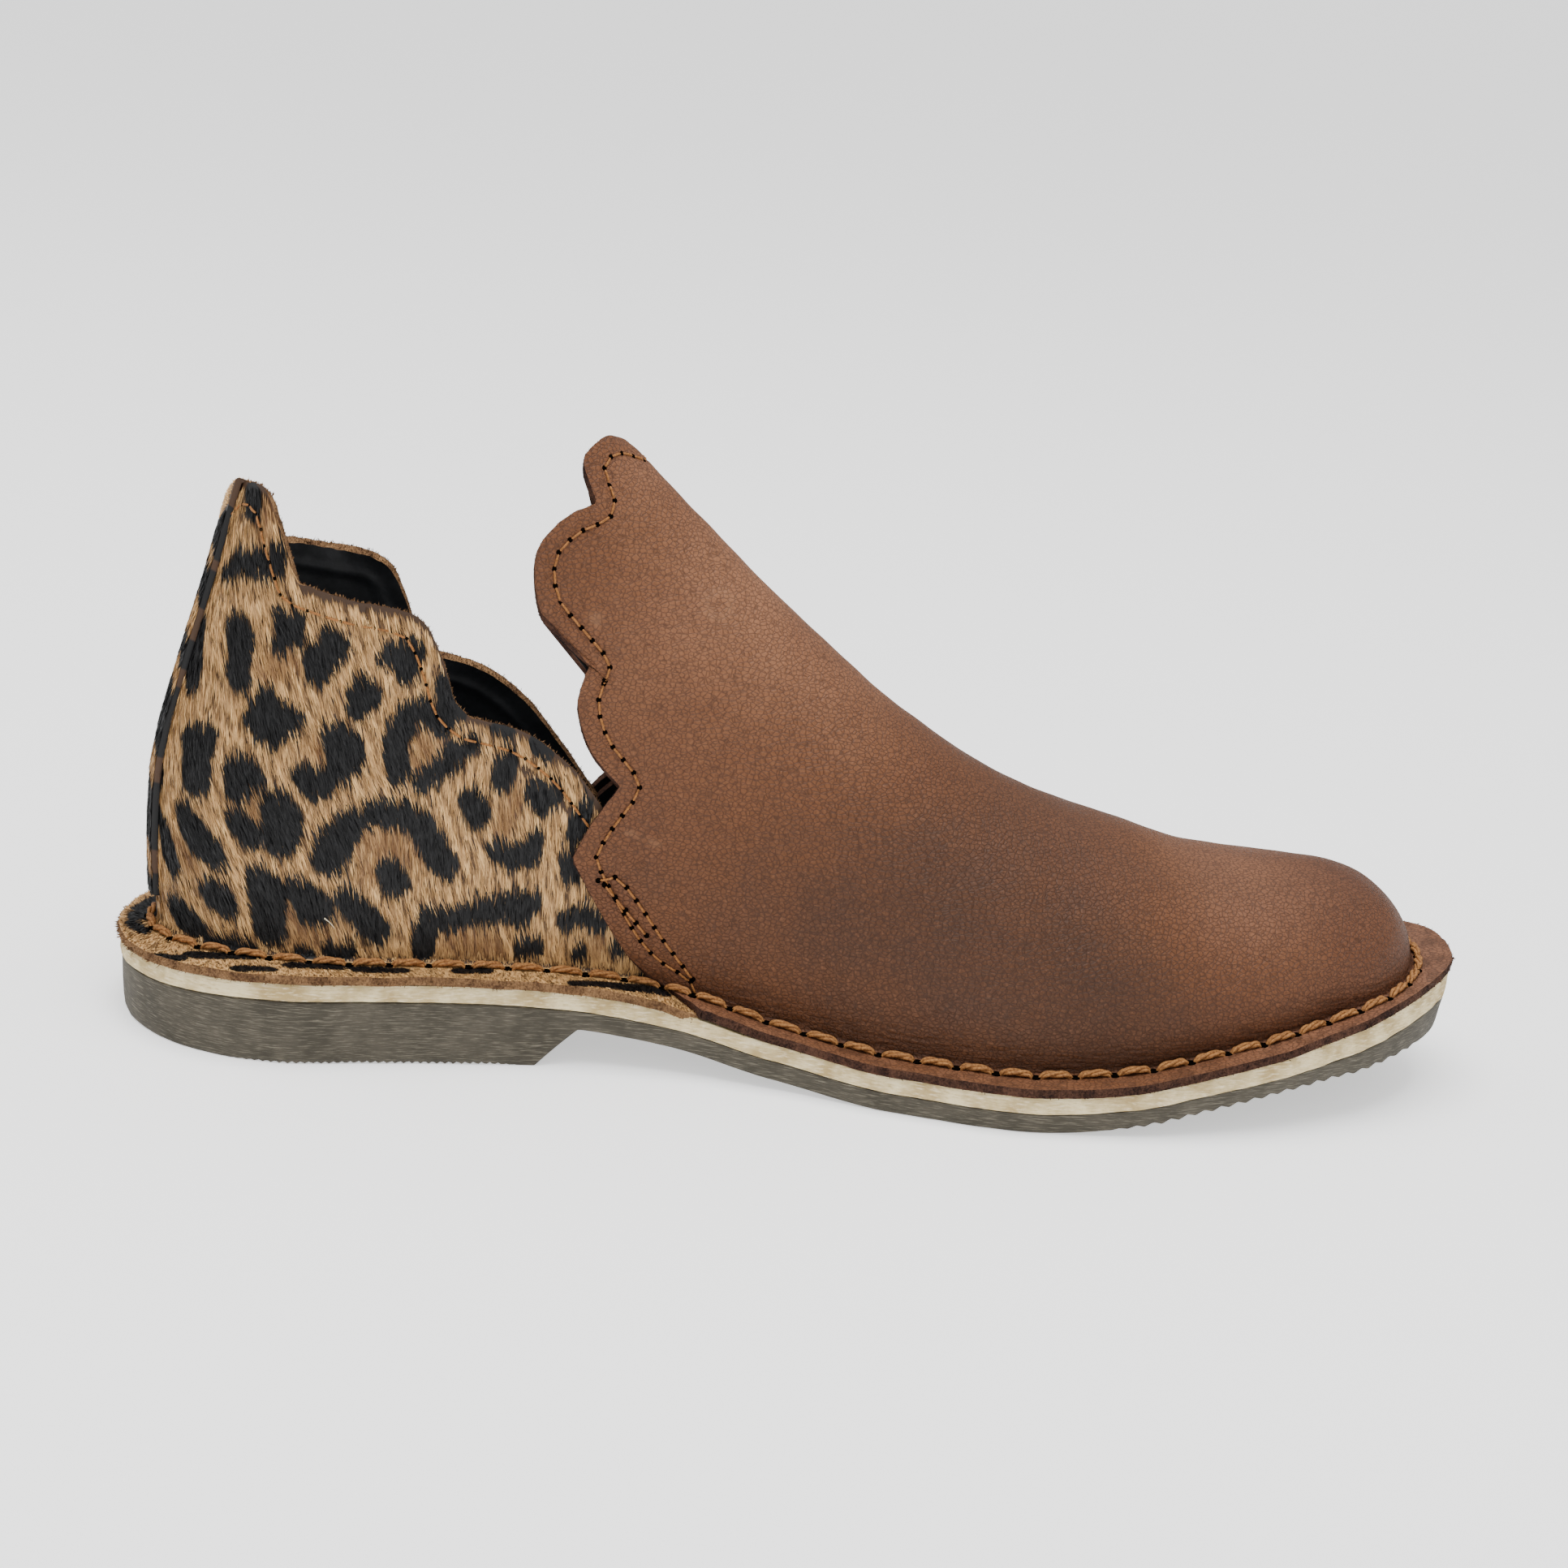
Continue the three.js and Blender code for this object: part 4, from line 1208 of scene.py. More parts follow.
def chart_distance(u: Array, v: Array, strokes: tuple) -> Array:
    """Signed distance to a set of round strokes on the hide's chart.

    Args:
        u: Distance along the foot of the wall from the back seam.
        v: Height over the flange, and under 0 the distance out over it.
        strokes: Each a row of points with their radii.

    Returns:
        The distance to the nearest stroke's edge in millimetres, under 0 inside. A stroke is the union of
        the discs that slide from each of its points to the next with their radius changing evenly.
    """
    best = np.full(u.shape, 9.0)
    for stroke in strokes:
        points = np.array(stroke, float)
        if len(points) == 1:
            points = np.vstack([points, points + [0.01, 0, 0]])
        for (u0, v0, r0), (u1, v1, r1) in zip(points[:-1], points[1:]):
            du, dv = u1 - u0, v1 - v0
            t = np.clip(((u - u0) * du + (v - v0) * dv) / (du * du + dv * dv + 1e-9), 0, 1)
            gap = np.hypot(u - u0 - t * du, v - v0 - t * dv) - (r0 + (r1 - r0) * t) - SWELL
            best = np.minimum(best, gap)
    return best


def foot_travel(a: Array) -> Array:
    """Distance along the wall at a third of its height from the back seam, for each a."""
    table_a = np.linspace(-1, 1, 400)
    return np.interp(a, table_a, travelled(LAST.wall(table_a, 0.3, -1.0, 0.0)))


# ---- Pieces


def crossing(s: Array, side: float) -> Array:
    """Where each row of the vamp meets its cut edge.

    Args:
        s: Rows on the wall, 0 to 1.
        side: -1 or 1.

    Returns:
        The value of a on the edge. Each row is walked backwards from 128 mm, in front of the edge, to
        66 mm, behind it, until it leaves the vamp, and the step is then halved until the place is exact.
    """
    walk = LAST.along(np.linspace(128.0, 66.0, 90))
    inside = on_vamp(LAST.skin(walk[None, :], s[:, None], side, VAMP_OUT)) > 0
    first = np.argmin(inside, axis=1)
    first = np.where(inside.all(axis=1), len(walk) - 1, np.maximum(first, 1))
    return halve(walk[first - 1], walk[first], lambda a: on_vamp(LAST.skin(a, s, side, VAMP_OUT)) > 0, 22)


def even_rows(side: float, count: int) -> tuple:
    """Rows of the vamp's wall, spaced evenly along its cut edge.

    Args:
        side: -1 or 1.
        count: Number of rows.

    Returns:
        The rows' s and their a on the edge.
    """
    dense = np.linspace(0, 1, 700) ** 1.05
    line = LAST.skin(crossing(dense, side), dense, side, VAMP_OUT)
    s = spaced(line, dense, dense, 0.75, count)
    return s, crossing(s, side)


def even_columns(start: Array, share: Array) -> Array:
    """Columns from each row's start to the tip of the toe.

    Args:
        start: The value of a at which each row starts.
        share: The columns as shares, 0 to 1.

    Returns:
        The value of a for rows and columns. Each row runs evenly from a smoothed start, and its own
        start's distance from that dies away over 9 mm, so that a notch leaves no crease behind it.
    """
    first = LAST.travel(start)
    width = 9
    padded = np.pad(first, width, mode="edge")
    window = np.hanning(2 * width + 3)[1:-1]
    smooth = np.convolve(padded, window / window.sum(), mode="valid")
    last = LAST.travel(np.array(2.0))
    run = (last - smooth)[:, None] * share[None, :]
    at = LAST.place(smooth[:, None] + run + (first - smooth)[:, None] * np.exp(-run / 9.0))
    at[:, -1] = 2.0
    return at


FLANGE_ROWS = (-1.0, -0.96, -0.86, -0.74, -0.62, -0.5, -0.4, -0.3, -0.21, -0.13, -0.06)


@dataclass
class Vamp:
    """The tan leather over the forefoot, with its scalloped edge, its wings and the front of the flange."""

    finishes: Finishes
    wall_rows: int = 112
    columns: int = 160
    flange_start: float = 109.3
    flange_slant: float = 6.4

    def grids(self) -> tuple:
        """The outer and inner grids, from the medial flange over the ridge to the lateral flange.

        Returns:
            Outer points, inner points, and s for each row.
        """
        outer, inner, rows = [], [], []
        for side in (Side.MEDIAL.value, Side.LATERAL.value):
            s, a = even_rows(float(side), self.wall_rows)
            flange = np.array(FLANGE_ROWS)
            start = LAST.along(self.flange_start - self.flange_slant * flange)
            join = start[-1] + (start[-1] - start[-2]) * 0.5
            # Up to a fiftieth of the wall's height the edge runs straight on from the flange's.
            a = np.where(s < 0.02, np.interp(s, [0, 0.02], [join, np.interp(0.02, s, a)]), a)
            s_all = np.concatenate([flange, s])
            a_all = np.concatenate([start, a])
            if side == Side.LATERAL.value:
                s_all, a_all = s_all[:-1][::-1], a_all[:-1][::-1]
            share = np.linspace(0, 1, self.columns)
            # The columns lie a little closer together near the cut edge.
            share = share + 0.06 * np.sin(np.pi * share) * (share - 1)
            at = even_columns(a_all, share)
            outer.append(LAST.skin(at, s_all[:, None], side, VAMP_OUT))
            inner.append(LAST.skin(at, s_all[:, None], side, VAMP_OUT - VAMP_WALL, drop=VAMP_WALL))
            rows.append(s_all)
        return np.vstack(outer), np.vstack(inner), np.concatenate(rows)

    def painted_shading(self, points: Array) -> Array:
        """Painted light and shade in zones, listed as (x, z, size, amount): over 0 a lighter painted
        highlight, under 0 a darker painted shade.
        """
        blobs = (
            (118.0, 100.0, 20.0, 0.6),
            (97.0, 84.0, 14.0, 0.2),
            (142.0, 78.0, 22.0, 0.45),
            (220.0, 46.0, 19.0, 0.5),
            (150.0, 34.0, 30.0, -0.45),
            (165.0, 55.0, 24.0, -0.1),
            (104.0, 58.0, 16.0, 0.1),
            (197.0, 24.0, 24.0, -0.5),
            (250.0, 26.0, 12.0, 0.15),
            (97.0, 116.0, 9.0, 0.35),
        )
        total = np.zeros(points.shape[:-1])
        for x, z, size, amount in blobs:
            gap = ((points[..., 0] - x) ** 2 + (points[..., 2] - z) ** 2) / size**2
            total += amount * np.exp(-gap)
        return total

    def build(self) -> tuple:
        """Builds the piece.

        Returns:
            The outer grid, its normals, and the polyline of the cut edge, for the stitches.
        """
        outer, inner, rows = self.grids()
        edge = outer[:, 0, :].copy()
        # Only the rear of the vamp needs its distance to the cut edge.
        near = outer[..., 0] < 135
        gap = np.full(outer.shape[:2], 99.0)
        gap[near] = distance_to(outer[near], edge)
        normal = grid_normals(outer)
        normal[:, -3:] = normal[:, -4:-3]
        # One column well inside the sheet tells which way is out.
        face_out = np.sign((normal[:, 20] * (outer[:, 20] - outer[:, 20].mean(axis=0))).sum(-1).mean())
        normal *= face_out
        lap = flange_lap(outer[..., 0]) * (rows < 0)[:, None]
        stitch = -0.22 * np.exp(-(((gap - SCALLOP_INSET) / 0.8) ** 2))
        thin = -0.35 * np.exp(-((gap / 1.1) ** 2))
        lumps = 0.12 * wave_noise(outer, 16.0, 3, 2)
        edge_wave = 0.25 * wave_noise(outer, 7.0, 5, 2) * np.exp(-((gap / 4.0) ** 2))
        shift = (stitch + thin + lumps + edge_wave)[..., None] * normal
        shift[..., 2] += lap
        shift[:, -1] = shift[:, -2]
        outer = outer + shift
        inner = inner + shift * 0.9
        # All rows of the wall meet in one point at the toe, and the flange's rows of both sides in pairs.
        wall = rows >= 0
        flange_rows = (~wall).sum() // 2
        for grid in (outer, inner):
            grid[wall, -1] = grid[wall, -1].mean(axis=0)
            middle = (grid[:flange_rows, -1] + grid[-flange_rows:, -1][::-1]) / 2
            grid[:flange_rows, -1] = middle
            grid[-flange_rows:, -1] = middle[::-1]
        ragged(outer, inner, 0.14, 41)
        build = thick_sheet(outer, inner, "tbl", (0, 1, 2), 0.12, flip=False)
        rest = np.zeros(len(build.points) - gap.size)
        foot = np.where(rows[:, None] < 0, 0.0, outer[..., 2] - LAST.flange_top(outer[..., 0]))
        zones = {
            # Painted highlights and painted shade, made lighter on the flange's rows.
            "painted_shading": self.painted_shading(outer) + 0.6 * (rows < 0)[:, None],
            "wine_dye_and_shade": self.wine_dye_and_shade(outer, foot, gap),
            "mark": self.marks(outer),
            "crease": np.exp(-(((foot - 2.5) / 5.0) ** 2)) * smoothstep(105, 130, outer[..., 0]),
        }
        for name, value in zones.items():
            build.values[name] = np.concatenate([value.ravel(), rest])
        f = self.finishes
        build.make("vamp_leather", [f.vamp, f.lining, f.vamp_edge], ("vamp",), "vamp")
        rim = np.vstack([outer[0], outer[-1, ::-1]])
        within = np.vstack([outer[3], outer[-4, ::-1]])
        thick = np.vstack([inner[0], inner[-1, ::-1]]) - rim
        Fringe("vamp_flange_fibres", "vamp", 12.0, 63, (0.25, 0.7)).build(rim, within, thick, f.vamp_edge)
        Fringe("scallop_fibres", "vamp", 8.0, 64, (0.2, 0.45), 0.12).build(
            outer[:, 0], outer[:, 3], inner[:, 0] - outer[:, 0], f.vamp_edge
        )
        return outer, normal, edge

    def wine_dye_and_shade(self, points: Array, foot: Array, gap: Array) -> Array:
        """Where the colour turns purple-brown: dyed darker at the toe and close to the cut edge, and darker
        by painted shade at the foot of the wall.
        """
        toe = 0.4 * smoothstep(188, 258, points[..., 0])
        # Painted shade at the foot of the wall, in the corner over the flange.
        low = 0.2 * np.exp(-((foot / 3.2) ** 2)) * (foot > 0.3)
        worn = 0.1 * wave_noise(points, 30.0, 51, 2)
        return np.clip(toe + low + 0.12 * np.exp(-((gap / 1.4) ** 2)) + worn, 0, 1)

    def marks(self, points: Array) -> Array:
        """Pale nicks, rings and hairline scratches on the medial side, placed one by one."""
        x, y, z = points[..., 0], points[..., 1], points[..., 2]
        medial = y < 10
        nick = np.exp(-(((x - 89.5) / 0.8) ** 2 + ((z - 89.5) / 1.2) ** 2))
        ring = np.exp(-(((np.hypot(x - 113.5, z - 92.5) - 2.4) / 0.8) ** 2)) * 0.5
        line = np.exp(-(((z - 47.0 + 0.35 * (x - 102)) / 0.4) ** 2)) * ((x > 99) & (x < 105)) * 0.6
        return np.where(medial, 0.7 * nick + 0.5 * ring + 0.5 * line, 0)


def ragged(outer: Array, inner: Array, size: float, seed: int) -> None:
    """Roughens the cut borders of a sheet in place, so that they look cut by hand.

    Args:
        outer: The outer grid.
        inner: The inner grid.
        size: How far the border wanders, in millimetres.
        seed: Seed of its wandering.
    """
    for grid in (outer, inner):
        for line, behind in ((grid[0], grid[1]), (grid[-1], grid[-2]), (grid[:, 0], grid[:, 1])):
            length = np.linalg.norm(line - behind, axis=1, keepdims=True)
            wander = wave_noise(line, 2.6, seed, 3)[:, None] * size
            line += unit(line - behind) * np.maximum(wander, -0.45 * length)


@dataclass
class Coat:
    """The short hair of a hide: thin blades, widest before their middle, that lie down along the skin."""

    name: str
    slot: str
    count: int
    seed: int
    length: tuple = (3.0, 5.4)
    width: float = 0.26

    def roots(self, grid: Array) -> tuple:
        """Seeded places on a grid, as many to each cell as its area asks for.

        Args:
            grid: The skin's points.

        Returns:
            Row, column, and the shares within the cell, for each hair.
        """
        chance = np.random.default_rng(self.seed)
        across = grid[1:, 1:] - grid[:-1, :-1]
        other = grid[1:, :-1] - grid[:-1, 1:]
        area = np.linalg.norm(np.cross(across, other), axis=-1).ravel()
        cell = chance.choice(area.size, self.count, p=area / area.sum())
        row, column = np.divmod(cell, grid.shape[1] - 1)
        return row, column, chance.random(self.count), chance.random(self.count)

    def grow(
        self, grid: Array, normal: Array, forward: Array, fall: Array, reach: Array, u: Array, v: Array
    ) -> Build:
        """Grows the hairs.

        Each blade is a kite of four corners: root, two middle corners 40% along and half a width to each
        side, and tip. It runs in the direction cos(fall) forward and sin(fall) down the rows. Its middle
        and its tip stand a little off the skin, more or less by chance, and it is rolled by chance.

        Args:
            grid: The skin's points, rows from the bottom up.
            normal: Its normals.
            forward: 1 or -1 for each column: the way along the columns that counts as forward.
            fall: Angle of the hair below the forward direction at each point.
            reach: The longest a hair may be at each point, in millimetres.
            u: Chart distance along the shoe at each point.
            v: Chart height at each point.

        Returns:
            The blades with their values, and the chart place of each blade's middle in "u" and "v".
        """
        chance = np.random.default_rng(self.seed + 1)
        row, column, p, q = self.roots(grid)
        weights = ((1 - p) * (1 - q), (1 - p) * q, p * (1 - q), p * q)
        corners = ((row, column), (row, column + 1), (row + 1, column), (row + 1, column + 1))

        def at(values: Array) -> Array:
            """Reads a grid of values at the roots."""
            shape = (-1,) + (1,) * (values.ndim - 2)
            return sum(w.reshape(shape) * values[c] for w, c in zip(weights, corners))

        ahead = np.gradient(grid, axis=1) * forward[None, :, None]
        root, out = at(grid), unit(at(normal))
        rise = at(np.gradient(grid, axis=0))
        rise = unit(rise - (rise * out).sum(1, keepdims=True) * out)
        way = np.cross(rise, out)
        way *= np.sign((way * at(ahead)).sum(1, keepdims=True))
        swirl = 0.16 * wave_noise(root, 17.0, self.seed + 2, 2)
        angle = at(fall) + swirl + chance.normal(0, 0.09, self.count)
        along = np.cos(angle)[:, None] * way - np.sin(angle)[:, None] * rise
        across = np.cross(out, along)
        length = np.minimum(chance.uniform(*self.length, self.count), at(reach))
        width = self.width * chance.uniform(0.7, 1.25, self.count) / 2
        roll = chance.normal(0, 0.3, self.count)
        lift = 0.06 + 0.16 * chance.random(self.count)
        tip_lift = 0.05 + 0.4 * chance.random(self.count) ** 2
        side = (across * np.cos(roll)[:, None] + out * np.sin(roll)[:, None]) * width[:, None]
        middle = root + along * (length * 0.4)[:, None] + out * lift[:, None]
        tip = root + along * length[:, None] + out * tip_lift[:, None]
        points = np.stack([root - out * 0.05, middle + side, tip, middle - side], axis=1).reshape(-1, 3)
        faces = np.arange(self.count * 4).reshape(-1, 4)
        build = Build(points, faces, np.zeros(self.count))
        clump = 0.5 + 0.5 * wave_noise(root * np.array([1.0, 1.0, 0.3]), 1.5, self.seed + 3, 2)
        shade = np.clip(-0.1 + 0.85 * clump + 0.5 * chance.random(self.count), 0, 1)
        build.values["shade"] = np.repeat(shade, 4)
        build.values["tip"] = np.tile([0.0, 0.75, 1.0, 0.75], self.count)
        jitter = chance.normal(0, 0.12, self.count)
        build.values["u"] = np.repeat(at(u) + np.cos(angle) * length * (0.5 + jitter), 4)
        build.values["v"] = np.repeat(at(v) - np.sin(angle) * length * (0.5 + jitter), 4)
        return build

    def make(self, build: Build, spot: Array, rosette: Array, finish: bpy.types.Material) -> None:
        """Puts the spots into the coat and makes it a piece."""
        del build.values["u"], build.values["v"]
        build.values["spot"], build.values["rosette"] = spot, rosette
        build.make(self.name, [finish], (), self.slot, weld=False)


@dataclass
class Fringe:
    """Loose fibres that stand out of a cut edge: kites 0.16 mm wide, turned and leaning by chance."""

    name: str
    slot: str
    per_mm: float
    seed: int
    length: tuple = (0.4, 1.1)
    width: float = 0.16

    def build(self, edge: Array, behind: Array, thick: Array, finish: bpy.types.Material) -> None:
        """Grows the fibres.

        Each starts at a seeded share of the edge's length and of its thickness, and runs outwards from the
        sheet, turned by chance along the edge and up or down.

        Args:
            edge: The edge's polyline on the outer face.
            behind: For each of its points, a point further in on the sheet.
            thick: For each of its points, the way to the inner face, as long as the sheet is thick.
            finish: The raw edge's finish.
        """
        chance = np.random.default_rng(self.seed)
        run = travelled(edge)
        count = int(run[-1] * self.per_mm)
        at = np.sort(chance.random(count)) * run[-1]
        values = np.hstack([edge, unit(edge - behind), unit(np.gradient(edge, axis=0)), thick])
        read = np.stack([np.interp(at, run, values[:, k]) for k in range(values.shape[1])], axis=1)
        root, out, along, thick = read[:, :3], read[:, 3:6], read[:, 6:9], read[:, 9:]
        root = root + thick * chance.random((count, 1))
        lean, tilt = chance.normal(0, 0.55, (count, 1)), chance.normal(0, 0.35, (count, 1))
        up = -unit(thick)
        way = unit(out + along * lean + up * tilt)
        length = chance.uniform(*self.length, (count, 1)) * (0.6 + 0.8 * chance.random((count, 1)) ** 3)
        side = (along + up * chance.normal(0, 1.0, (count, 1))) * self.width / 2
        middle = root + way * length * 0.45
        corners = np.stack([root - out * 0.15, middle + side, root + way * length, middle - side], axis=1)
        faces = np.arange(count * 4).reshape(-1, 4)
        Build(corners, faces, np.zeros(count)).make(self.name, [finish], (), self.slot, weld=False)


@dataclass
class Quarters:
    """The two hair-on quarters in one sheet round the heel, with the rear of the flange."""

    finishes: Finishes
    columns: int = 150
    wall_rows: int = 96
    front_x: float = 124.0
    lap_sink: float = 1.0

    def side_columns(self, side: float) -> Array:
        """Columns from the back seam forward, closer where the collar is steep."""
        a = np.linspace(-1, LAST.along(self.front_x), 900)
        line = LAST.wall(a, self.collar_b(a, side), side, 0.0)
        return spaced(line, a, np.linspace(0, 1, len(a)), 0.6, self.columns)

    def collar_b(self, a: Array, side: float) -> Array:
        """The height b on the wall at which each column meets the collar."""
        under = lambda b: under_collar(LAST.wall(a, b, side, 0.0))
        return halve(np.full(a.shape, 0.02), np.full(a.shape, 0.985), under, 26)

    def grids(self) -> tuple:
        """The outer and inner grids, from the medial front round the back seam to the lateral front.

        Under the vamp the flange's rows sink by lap_sink, and towards their front end they get thinner
        and draw in to the wall, so that nothing of them shows past the vamp's flange.

        Returns:
            Outer points, inner points, the chart's u and v, and the rows' s.
        """
        parts = []
        share = np.linspace(0, 1, self.wall_rows) ** 1.15
        s = np.concatenate([FLANGE_ROWS, share])
        flat = s[:, None] < 0
        for side in (-1.0, 1.0):
            a = self.side_columns(side)
            top = self.collar_b(a, side)
            rows = np.where(flat, s[:, None], s[:, None] * top[None, :])
            a_grid = np.broadcast_to(a[None, :], rows.shape)
            foot = LAST.wall(a, 0.0, side, 0.0)
            sink = self.lap_sink * smoothstep(107, 114, foot[:, 0])
            taper = smoothstep(110, 124, foot[:, 0])
            outer = LAST.skin(a_grid, rows, side, 0.0)
            inner = LAST.skin(a_grid, rows, side, -HIDE_WALL, HIDE_WALL)
            outer[..., 2] -= np.where(flat, sink + 0.7 * taper, 0)
            inner[..., 2] -= np.where(flat, sink, 0)
            height = outer[..., 2] - LAST.flange_top(outer[..., 0])
            reach = np.where(flat, 1 - 0.45 * taper, 1)[..., None]
            for grid in (outer, inner):
                grid[..., :2] = foot[None, :, :2] + (grid[..., :2] - foot[None, :, :2]) * reach
            out = np.hypot(outer[..., 0] - foot[None, :, 0], outer[..., 1] - foot[None, :, 1])
            chart = np.stack([foot_travel(a_grid) * side, np.where(flat, -out, height)], axis=-1)
            stack = np.concatenate([outer, inner, chart], axis=-1)
            parts.append(stack[:, ::-1] if side < 0 else stack[:, 1:])
        whole = np.concatenate(parts, axis=1)
        return whole[..., :3], whole[..., 3:6], whole[..., 6], whole[..., 7], s

    def build(self) -> tuple:
        """Builds the piece with its spots and the map of its hair.

        Returns:
            The outer grid, its normals and the polyline of the collar, for the stitches.
        """
        outer, inner, u, v, s = self.grids()
        collar = outer[-1].copy()
        normal = grid_normals(outer)
        centre = np.array([45.0, 0.0, 45.0])
        normal *= np.sign((normal * (outer - centre)).sum(-1).mean())
        gap = distance_to(outer, collar)
        stitch = -0.3 * np.exp(-(((gap - COLLAR_INSET) / 1.0) ** 2)) * (s >= 0)[:, None]
        soft = 0.18 * wave_noise(outer, 18.0, 11, 2)
        lip = 0.35 * wave_noise(outer, 11.0, 12, 2) * np.exp(-((gap / 5.0) ** 2))
        shift = (stitch + soft + lip)[..., None] * normal
        outer = outer + shift
        inner = inner + shift
        ragged(outer, inner, 0.16, 17)
        build = thick_sheet(outer, inner, "tblr", (0, 1, 2), 0.15, flip=False)
        spots, rosettes = SPOTS + other_side(SPOTS), ROSETTES + other_side(ROSETTES)
        # Off the flange the skin keeps the root colour, painted shade between hairs; on the flange, where the
        # hairs are short, it is made lighter.
        values = {
            "spot": chart_distance(-u, v, spots),
            "rosette": chart_distance(-u, v, rosettes),
            "shade": np.where(v < 0, 0.8, 0.0),
            "tip": np.where(v < 0, 0.7, 0.0),
        }
        for name, value in values.items():
            build.values[name] = spread_value(build, value)
        f = self.finishes
        build.make("quarters_hide", [f.hide, f.lining, f.hide_edge], ("upper",), "upper")
        for name, per_mm, seed, length, row, behind in (
            ("collar_fibres", 16.0, 61, (0.35, 0.9), -1, -4),
            ("hide_flange_fibres", 14.0, 62, (0.4, 1.2), 0, 3),
        ):
            fringe = Fringe(name, "upper", per_mm, seed, length)
            fringe.build(outer[row], outer[behind], inner[row] - outer[row], f.hide_edge)
        travel = np.abs(u)
        forward = np.where(u[len(FLANGE_ROWS)] < 0, -1.0, 1.0)
        fall = np.radians(np.interp(travel, [0, 12, 55, 100], [62, 58, 78, 84]))
        to_foot = np.where(v > 0, np.maximum(v - 0.6, 0.7), np.maximum(self.flange_reach(outer) + 0.1, 0.4))
        reach = np.where(v > 0, to_foot, np.minimum(to_foot, 1.8))
        coat = Coat("quarters_hair", "upper", 84000, 7)
        hair = coat.grow(outer, normal, forward, fall, reach, travel, v)
        # The chart counts forward from the back seam on both sides, and the far side is told by its sign.
        side = np.where(hair.points[:, 1] > 0, -1.0, 1.0)
        place = (hair.values["u"] * side, hair.values["v"])
        coat.make(hair, chart_distance(*place, spots), chart_distance(*place, rosettes), f.hide)
        return outer, normal, collar

    def flange_reach(self, grid: Array) -> Array:
        """Distance of each point from the flange's outer edge in its own column."""
        edge = grid[:1]
        return np.hypot(grid[..., 0] - edge[..., 0], grid[..., 1] - edge[..., 1])


@dataclass
class Lining:
    """The black lined layer that runs on under the vamp to the toe."""

    finishes: Finishes
    rows: int = 60
    columns: int = 70

    def build(self) -> None:
        """Builds a closed sheet from just inside the scalloped edge to the toe."""
        outer, inner = [], []
        for side in (-1.0, 1.0):
            s = np.linspace(0.0, 1.0, self.rows)
            # It starts 1.2 mm in front of the vamp's cut edge, and at 122 mm at the latest.
            a = np.minimum(crossing(s, side) + 1.2 / LAST.body_run, LAST.along(122.0))
            if side > 0:
                s, a = s[:-1][::-1], a[:-1][::-1]
            at = even_columns(a, np.linspace(0, 1, self.columns))
            outer.append(LAST.wall(at, s[:, None], side, 0.0))
            inner.append(LAST.wall(at, s[:, None], side, -LINING))
        build = thick_sheet(np.vstack(outer), np.vstack(inner), "tbl", (0, 0, 1), 0.1, flip=False)
        build.make("vamp_lining", [self.finishes.lining, self.finishes.vamp_edge], (), "upper")


